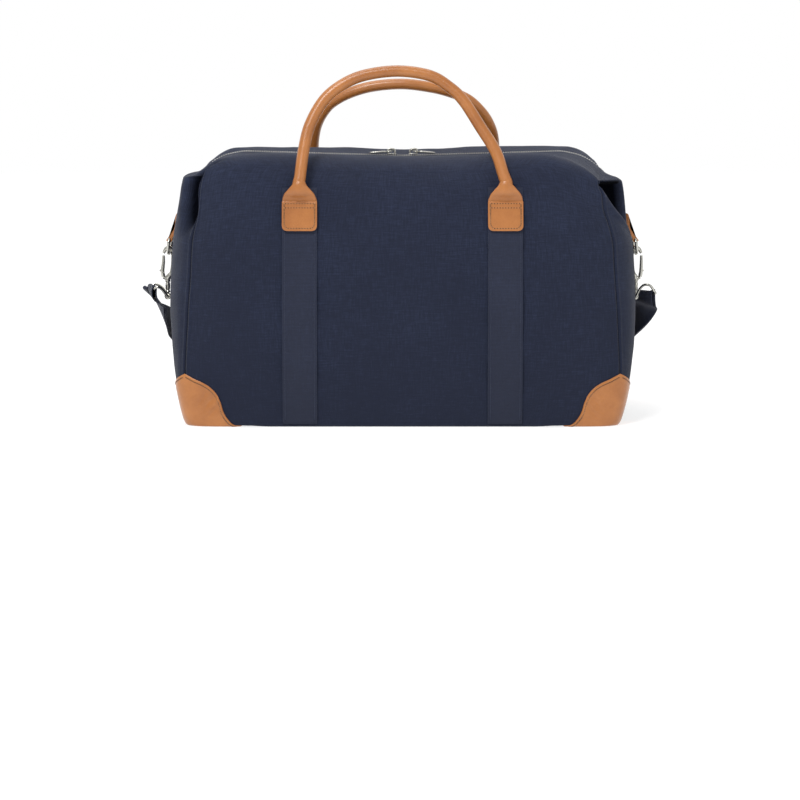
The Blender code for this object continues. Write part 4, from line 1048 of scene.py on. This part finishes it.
# ---------------------------------------------------------------- end hardware
RING_BAR_X, RING_BAR_Z, RING_WIRE = 0.2680, 0.2010, 0.0017
RING_DROP, RING_HALF_WIDTH = 0.0170, 0.0160
RING_TILT = math.radians(7)
HOOK_X = {-1: 0.2715, 1: 0.2700}
CLAW_X, HOOK_FOOT, LOOP_PIVOT_Z = 0.2762, 0.1560, 0.1350
LOOP_WIRE, LOOP_HALF_WIDTH = 0.0015, 0.0215
# Each loop's outer bar: its middle and its direction. The loops hang a little turned on their swivels.
LOOP_BAR = {
    -1: (np.array([-0.2895, 0.0000, 0.1450]), np.array([-0.250, 0.968, 0.0])),
    1: (np.array([0.2775, 0.0000, 0.1390]), np.array([-0.574, 0.819, 0.0])),
}
LOOP_ARCH = {-1: 0.006, 1: 0.013}
# The strap between each loop and the adjuster's run.
STRAP_FALL = {
    -1: ((0.2862, 0.0120, 0.1280), (0.2812, 0.0320, 0.1100)),
    1: ((0.2792, 0.0200, 0.1220), (0.2768, 0.0420, 0.1070)),
}
END_TAB_HALF_WIDTH, END_TAB_TOP = 0.0125, 0.2310


def end_x(z, side):
    d = solve("end", np.zeros(1), np.array([z]), side)
    return abs(float((shape(d) + normals(d) * relief(d, shape(d))[:, None])[0, 0]))


def loop_line(points, steps=3):
    """A closed smooth loop through (a, b) points."""
    line = np.asarray(points, float)
    line = smooth_line(np.concatenate([line[-2:], line, line[:3]]), steps)
    return line[2 * steps : 2 * steps + len(points) * steps]


def end_tab(side, word):
    hole_radius, wrap_radius = RING_WIRE + 0.0002, RING_WIRE + 0.0002 + LEATHER
    angles = [math.radians(-90 + 18 * k) for k in range(20)]

    def around_bar(radius):
        return [(RING_BAR_X + radius * math.cos(a), RING_BAR_Z + radius * math.sin(a)) for a in angles]

    hole, wrap = around_bar(hole_radius), around_bar(wrap_radius)
    outline = wrap[:6]
    for z, lift in ((0.2130, 0.0046), (0.2220, 0.0038), (0.2290, 0.0034), (END_TAB_TOP, 0.0024)):
        outline.append((end_x(z, side) + 0.0003 + lift, z))
    for z in (END_TAB_TOP, 0.2250, 0.2190, 0.2130):
        outline.append((end_x(z, side) + 0.0003, z))
    outline.append((RING_BAR_X - wrap_radius - 0.0012, RING_BAR_Z + 0.0040))
    outline += wrap[15:]
    outer, inner = loop_line(outline, 3), loop_line(hole, 3)
    count = len(outer)
    near_edge = END_TAB_HALF_WIDTH - 0.0003
    ys = [-END_TAB_HALF_WIDTH, -near_edge, *np.linspace(-0.0115, 0.0115, 9), near_edge, END_TAB_HALF_WIDTH]
    verts, faces = [], []
    for loops in (outer, inner):
        for i, y in enumerate(ys):
            shrink = 0.12 if loops is outer and i in (0, len(ys) - 1) else 0.0
            for a, b in zip(loops, inner):
                q = a + (b - a) * shrink * min(1.0, 0.0030 / (np.linalg.norm(b - a) + 1e-9))
                verts.append((side * q[0], y, q[1]))
    layer = count * len(ys)
    for base in (0, layer):
        for i in range(len(ys) - 1):
            for k in range(count):
                after = (k + 1) % count
                a = base + i * count
                faces.append((a + k, a + after, a + count + after, a + count + k))
    for i in (0, len(ys) - 1):
        for k in range(count):
            after = (k + 1) % count
            faces.append((i * count + k, i * count + after, layer + i * count + after, layer + i * count + k))
    place(make(f"end_tab_leather_{word}", verts, faces, TAN, smooth=50), "root", "leather", f"end_tab_{word}")
    runs = []
    edge, low, high = 0.0100, 0.2145, 0.2275
    sewn_lines = (
        ((-edge, high), (edge, high)), ((-edge, low), (-edge, high)), ((edge, low), (edge, high)),
        ((-edge, low), (edge, low)),
    )
    for y_line in sewn_lines:
        q = even_line(y_line, 0.001)
        lifts = np.interp(q[:, 1], (0.2130, 0.2220, 0.2290), (0.0046, 0.0038, 0.0034)) + 0.0003
        x = np.array([end_x(z, side) for z in q[:, 1]]) + lifts
        runs.append((np.stack([side * x, q[:, 0], q[:, 1]], axis=1), np.tile([float(side), 0, 0], (len(q), 1))))
    place(stitches(f"end_tab_stitches_{word}", runs, THREAD_TAN, 0.0030, 0.0021, 0.00030), "root", "leather")
    place(needle_holes(f"end_tab_holes_{word}", runs, HOLE_SHADE, 0.0030), "root", "leather")


def ring_point(side, y, drop):
    return (side * (RING_BAR_X + drop * math.sin(RING_TILT)), y, RING_BAR_Z - drop * math.cos(RING_TILT))


# The barrel's height and radius, from the swivel up to the foot of the hook.
BARREL = (
    (0.1392, 0.0016), (0.1394, 0.0026), (0.1402, 0.0029), (0.1412, 0.0027), (0.1418, 0.0021), (0.1430, 0.0021),
    (0.1436, 0.0026), (0.1470, 0.0028), (0.1500, 0.0027), (0.1506, 0.0023), (0.1514, 0.0023), (0.1520, 0.0029),
    (0.1532, 0.0031), (0.1546, 0.0028), (0.1556, 0.0022), (0.1562, 0.0012),
)
ARM_RADII = (0.0034, 0.0036, 0.0033, 0.0028, 0.0024, 0.0025, 0.0028, 0.0029, 0.0026, 0.0017)
# The loop's outline: across its bar, and the share of the way from the swivel down to the bar.
LOOP_OUTLINE = (
    (-0.0050, 0.0), (0.0050, 0.0), (0.0120, 0.15), (0.0180, 0.40), (LOOP_HALF_WIDTH, 0.70),
    (LOOP_HALF_WIDTH, 0.93), (0.0195, 1.0), (-0.0195, 1.0), (-LOOP_HALF_WIDTH, 0.93), (-LOOP_HALF_WIDTH, 0.70),
    (-0.0180, 0.40), (-0.0120, 0.15),
)
RING_BEND = 0.0055


def d_ring(side, word):
    flat = [(y, 0.0) for y in (-0.0145, -0.007, 0.007, 0.0145)]
    bow = []
    for k in range(17):
        a = math.pi * k / 16
        bow.append((RING_HALF_WIDTH * math.cos(a), RING_BEND + (RING_DROP - RING_BEND) * math.sin(a)))
    outline = [*flat, (RING_HALF_WIDTH, 0.0020), *bow, (-RING_HALF_WIDTH, 0.0020)]
    points = [ring_point(side, y, drop) for y, drop in outline]
    ring = wire(f"ring_wire_{word}", points, RING_WIRE, NICKEL, closed=True, sides=20, across=(1, 0, 0.2))
    place(ring, f"d_ring_{word}", "nickel", f"d_ring_{word}")


def hook(side, word):
    """The hook's barrel, arm and foot, its gate, and the eye that turns under it."""
    x = HOOK_X[side]

    def upright(points):
        return [(side * a, 0, b) for a, b in points]

    def post(name, line, radii, sides, smooth):
        return sweep(
            name, line, [(0, 0, 1)] * len(line), [(0, 1, 0)] * len(line), radii, radii, NICKEL, sides, smooth=smooth
        )

    barrel_line = upright([(x, z) for z, _ in BARREL])
    barrel = post(f"hook_barrel_{word}", barrel_line, [r for _, r in BARREL], 28, 40)
    place(barrel, f"hook_{word}", "nickel", f"snap_hook_{word}")
    bend = (
        (x, 0.1548), (x - 0.0012, 0.1578), (0.2668, 0.1615), (0.2656, 0.1690), (0.2654, 0.1780),
        (0.2656, 0.1855), (0.2672, 0.1892), (0.2700, 0.1908), (0.2735, 0.1895), (CLAW_X, 0.1850),
    )
    foot = ((x + 0.0002, 0.1552), (x + 0.0030, 0.1560), (x + 0.0050, 0.1572))
    gate = ((x + 0.0050, 0.1575), (x + 0.0060, 0.1640), (CLAW_X + 0.0002, 0.1740), (CLAW_X, 0.1822))
    thumb = ((x + 0.0066, 0.1640), (x + 0.0092, 0.1650))
    bars = (
        ("hook_arm", bend, ARM_RADII, 20, 6, 0.9, "hook", ()),
        ("hook_foot", foot, 0.0019, 18, 6, 1.0, "hook", ()),
        ("gate_bar", gate, (0.0024, 0.0022, 0.0019, 0.0015), 18, 6, 1.0, "gate", (f"hook_gate_{word}",)),
        ("gate_thumb", thumb, (0.0010, 0.0011), 16, 4, 1.0, "gate", ()),
    )
    for name, line, radii, sides, steps, flat, body, nodes in bars:
        bar = wire(f"{name}_{word}", upright(line), radii, NICKEL, sides=sides, steps=steps, flat=flat)
        place(bar, f"{body}_{word}", "nickel", *nodes)
    turns = np.linspace(0, math.tau, 17)[:-1]
    eye = upright([(x + 0.0026 * math.cos(a), LOOP_PIVOT_Z + 0.0026 * math.sin(a)) for a in turns])
    ring = wire(f"swivel_ring_{word}", eye, 0.0010, NICKEL, closed=True, sides=14, flat=1.4)
    place(ring, f"hook_{word}", "nickel", f"swivel_eye_{word}")
    pin = post(f"swivel_post_{word}", upright([(x, 0.1374), (x, 0.1396)]), 0.0014, 20, 50)
    place(pin, f"hook_{word}", "nickel")


def strap_loop(side, word):
    pivot, (bar, bar_way) = np.array([side * HOOK_X[side], 0, LOOP_PIVOT_Z]), LOOP_BAR[side]
    points = []
    for y, t in LOOP_OUTLINE:
        way_here = np.array([0, 1.0, 0]) * (1 - t) + bar_way * t
        arch = UP_AXIS * LOOP_ARCH[side] * math.sin(math.pi * t) ** 0.8
        points.append(pivot + (bar - pivot) * t + arch + way_here / np.linalg.norm(way_here) * y)
    loop = wire(
        f"loop_wire_{word}", points, LOOP_WIRE, NICKEL, closed=True, sides=20, steps=8, across=(1, 0, -0.5)
    )
    place(loop, f"d_ring_{word}", "nickel", f"strap_loop_{word}")


for side, word in SIDES:
    end_tab(side, word)
    d_ring(side, word)
    hook(side, word)
    strap_loop(side, word)


# ---------------------------------------------------------------- shoulder strap
STRAP = 0.0014
WRAP = LOOP_WIRE + GAP + STRAP / 2
ADJUSTER_AT = np.array([0.2715, 0.0640, 0.0930])
RUN = np.array([-0.05, 0.80, -0.60]) / np.linalg.norm([-0.05, 0.80, -0.60])
BEHIND = ((0.2560, 0.1160, 0.0490), (0.2260, 0.1350, 0.0340), (0.1700, 0.1420, 0.0240), (0.0850, 0.1430, 0.0215))


def strap_half(side):
    """The strap's line from its loose end, round the loop and away to the middle of the back, for one side."""
    bar, bar_way = LOOP_BAR[side]
    out = np.array([bar_way[1], -bar_way[0], 0]) * side
    out = out * np.sign(out[0] * side)
    mirror = np.array([side, 1, 1])
    run_end = ADJUSTER_AT + RUN * 0.030
    inside = np.array([-1, -0.05, 0]) / math.hypot(1, 0.05) * (STRAP + 2 * GAP)
    drop = bar + out * (WRAP + 0.0002) - UP_AXIS * 0.007
    first, second = (np.array(p) * mirror for p in STRAP_FALL[side])
    layer = STRAP + 3 * GAP
    if side < 0:
        tail = [first * 0.7 + second * 0.3 - out * layer, first - out * layer, bar - out * WRAP - UP_AXIS * 0.008]
    else:
        tail = [(ADJUSTER_AT + RUN * 0.016 + inside) * mirror, (ADJUSTER_AT + inside) * mirror, second - out * layer]
        tail += [first - out * layer, bar - out * WRAP - UP_AXIS * 0.008]
    turn = []
    for k in range(1, 6):
        a = math.radians(180 - 36 * k + 18)
        turn.append(bar + out * WRAP * math.cos(a) + UP_AXIS * WRAP * math.sin(a))
    away = [np.array(p) * mirror for p in (ADJUSTER_AT, run_end, *BEHIND, (0.0, 0.1430, 0.0215))]
    return smooth_line([*tail, *turn, drop, first, second, *away], 8)


def strap_acrosses(points):
    found = []
    for p, t in zip(points, tangents(points)):
        upright = float(ramp(0.015, 0.125, p[1]))
        across = np.array([0, 1 - upright, upright])
        if upright > 0 and abs(p[0]) > 0.20:
            across = np.array([0, -t[2], t[1]]) * (1 if t[1] * (1 if p[0] < 0 else -1) > 0 else -1)
        bar, bar_way = LOOP_BAR[-1 if p[0] < 0 else 1]
        near = float(1 - ramp(0.012, 0.058, p[1]))
        if across.dot(bar_way) < 0:
            across = -across
        across = across / np.linalg.norm(across) * (1 - near) + bar_way * near
        across = across - t * across.dot(t)
        if found and across.dot(found[-1]) < 0:
            across = -across
        found.append(across / np.linalg.norm(across))
    return np.array(found)


strap_left, strap_right = strap_half(-1), strap_half(1)
whole = np.concatenate([strap_left, strap_right[-2::-1]])
across_whole = strap_acrosses(whole)
forward_whole = tangents(whole)
behind_left = [i for i in range(len(whole)) if whole[i, 1] > 0.10]
first, last = behind_left[0], behind_left[-1]
lengths = (("left", 0, first + 1), ("back", first, last + 1), ("right", last, len(whole)))
for word, low, high in lengths:
    piece = sweep(
        f"strap_web_{word}", whole[low:high], forward_whole[low:high], across_whole[low:high], WEBBING_WIDTH / 2,
        STRAP / 2, STRAP_CLOTH, 20, 8.0, smooth=60,
    )
    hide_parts("shoulder_strap")
    if word == "back":
        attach(piece, "root")
    else:
        side = -1 if word == "left" else 1
        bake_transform(piece)


def adjuster():
    across = np.array([0, -RUN[2], RUN[1]]) / math.hypot(RUN[1], RUN[2])
    normal = np.cross(across, RUN)
    centre = ADJUSTER_AT + np.array([-1, -0.05, 0]) / math.hypot(1, 0.05) * (STRAP / 2 + GAP)
    outline, hole = [], []
    for k in range(48):
        a = math.tau * (k + 0.5) / 48
        c = math.copysign(abs(math.cos(a)) ** 0.25, math.cos(a))
        s = math.copysign(abs(math.sin(a)) ** 0.25, math.sin(a))
        outline.append((0.0222 * c, 0.0036 * s))
        hole.append((0.0202 * c, 0.0024 * s))
    outline, hole = np.array(outline), np.array(hole)
    verts, faces = [], []
    ts = (-0.0100, -0.0092, -0.0070, -0.0064, 0.0, 0.0064, 0.0070, 0.0092, 0.0100)
    swell = (0.55, 1.0, 1.0, 0.62, 0.62, 0.62, 1.0, 1.0, 0.55)
    for loops, k in ((outline, 1), (hole, 0)):
        for t, grow in zip(ts, swell):
            section = hole + (loops - hole) * (grow if k else 1.0)
            for a, b in section:
                verts.append(centre + across * a + normal * b + RUN * t)
    layer = 48 * len(ts)
    for base in (0, layer):
        for i in range(len(ts) - 1):
            for k in range(48):
                after = (k + 1) % 48
                a = base + i * 48
                faces.append((a + k, a + after, a + 48 + after, a + 48 + k))
    for i in (0, len(ts) - 1):
        for k in range(48):
            after = (k + 1) % 48
            faces.append((i * 48 + k, i * 48 + after, layer + i * 48 + after, layer + i * 48 + k))
    return make("adjuster_frame", verts, faces, NICKEL, smooth=50)


place(adjuster(), "strap_adjuster", "nickel", "strap_adjuster")


# ---------------------------------------------------------------- the pieces inside keep their CAD shape
INSIDE = {
    "lining_pocket": LINING_CLOTH, "base_board": BOARD_FINISH,
    "handle_core_front": CORD_COTTON, "handle_core_back": CORD_COTTON,
}
for node, finish in INSIDE.items():
    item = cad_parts[node]
    for obj in item if isinstance(item, (list, tuple)) else [item]:
        obj.data.materials.clear()
        obj.data.materials.append(finish)


# ---------------------------------------------------------------- floor, light and camera
def lamp(name, size, energy, position, target):
    data = bpy.data.lights.new(name, "AREA")
    data.shape = "RECTANGLE"
    data.size, data.size_y = size
    data.energy = energy
    obj = bpy.data.objects.new(name, data)
    obj.location = position
    obj.rotation_euler = (Vector(target) - Vector(position)).to_track_quat("-Z", "Y").to_euler()
    bpy.context.scene.collection.objects.link(obj)


floor_made, floor_shader = new_material("floor")[:2]
floor_shader.inputs["Base Color"].default_value = (0.40, 0.40, 0.40, 1)
floor_shader.inputs["Roughness"].default_value = 0.9
floor_shader.inputs["Emission Color"].default_value = (1, 1, 1, 1)
floor_shader.inputs["Emission Strength"].default_value = 0.70
floor = make("floor", [(-12, -12, 0), (12, -12, 0), (12, 12, 0), (-12, 12, 0)], [(0, 1, 2, 3)], floor_made)

world = bpy.data.worlds.new("world")
bpy.context.scene.world = world
world.use_nodes = True
tree = world.node_tree
# a white backdrop behind the bag, and a dimmer studio round the sides and in front
direction = tree.nodes.new("ShaderNodeTexCoord")
parts = tree.nodes.new("ShaderNodeSeparateXYZ")
tree.links.new(direction.outputs["Generated"], parts.inputs[0])
fade = tree.nodes.new("ShaderNodeMapRange")
fade.interpolation_type = "SMOOTHSTEP"
fade.inputs["From Min"].default_value, fade.inputs["From Max"].default_value = -0.35, 0.80
fade.inputs["To Min"].default_value, fade.inputs["To Max"].default_value = 0.52, 1.0
tree.links.new(parts.outputs["Y"], fade.inputs["Value"])
tree.links.new(fade.outputs["Result"], tree.nodes["Background"].inputs["Strength"])
tree.nodes["Background"].inputs["Color"].default_value = (1.0, 1.0, 1.0, 1)
lamp("key", (0.9, 0.9), 66, (-0.9, -2.1, 2.5), (0, 0, 0.2))
lamp("fill", (1.4, 1.4), 7, (2.0, -2.2, 1.2), (0, 0, 0.15))
lamp("top", (1.8, 0.9), 14, (-0.3, 0.5, 2.4), (0, 0, 0.2))

CAMERA_ASIDE, CAMERA_BACK, CAMERA_HEIGHT, AIM_HEIGHT = -0.0028, 2.320, 0.330, 0.200
camera_data = bpy.data.cameras.new("camera")
camera = bpy.data.objects.new("camera", camera_data)
bpy.context.scene.collection.objects.link(camera)
camera.location = (CAMERA_ASIDE, -CAMERA_BACK, CAMERA_HEIGHT)
toward = Vector((CAMERA_ASIDE, 0, AIM_HEIGHT)) - camera.location
camera.rotation_euler = toward.to_track_quat("-Z", "Y").to_euler()
camera_data.sensor_width = 36
camera_data.lens = 90.45
camera_data.shift_y = -0.20
bpy.context.scene.camera = camera
bpy.context.scene.view_settings.view_transform = "Standard"
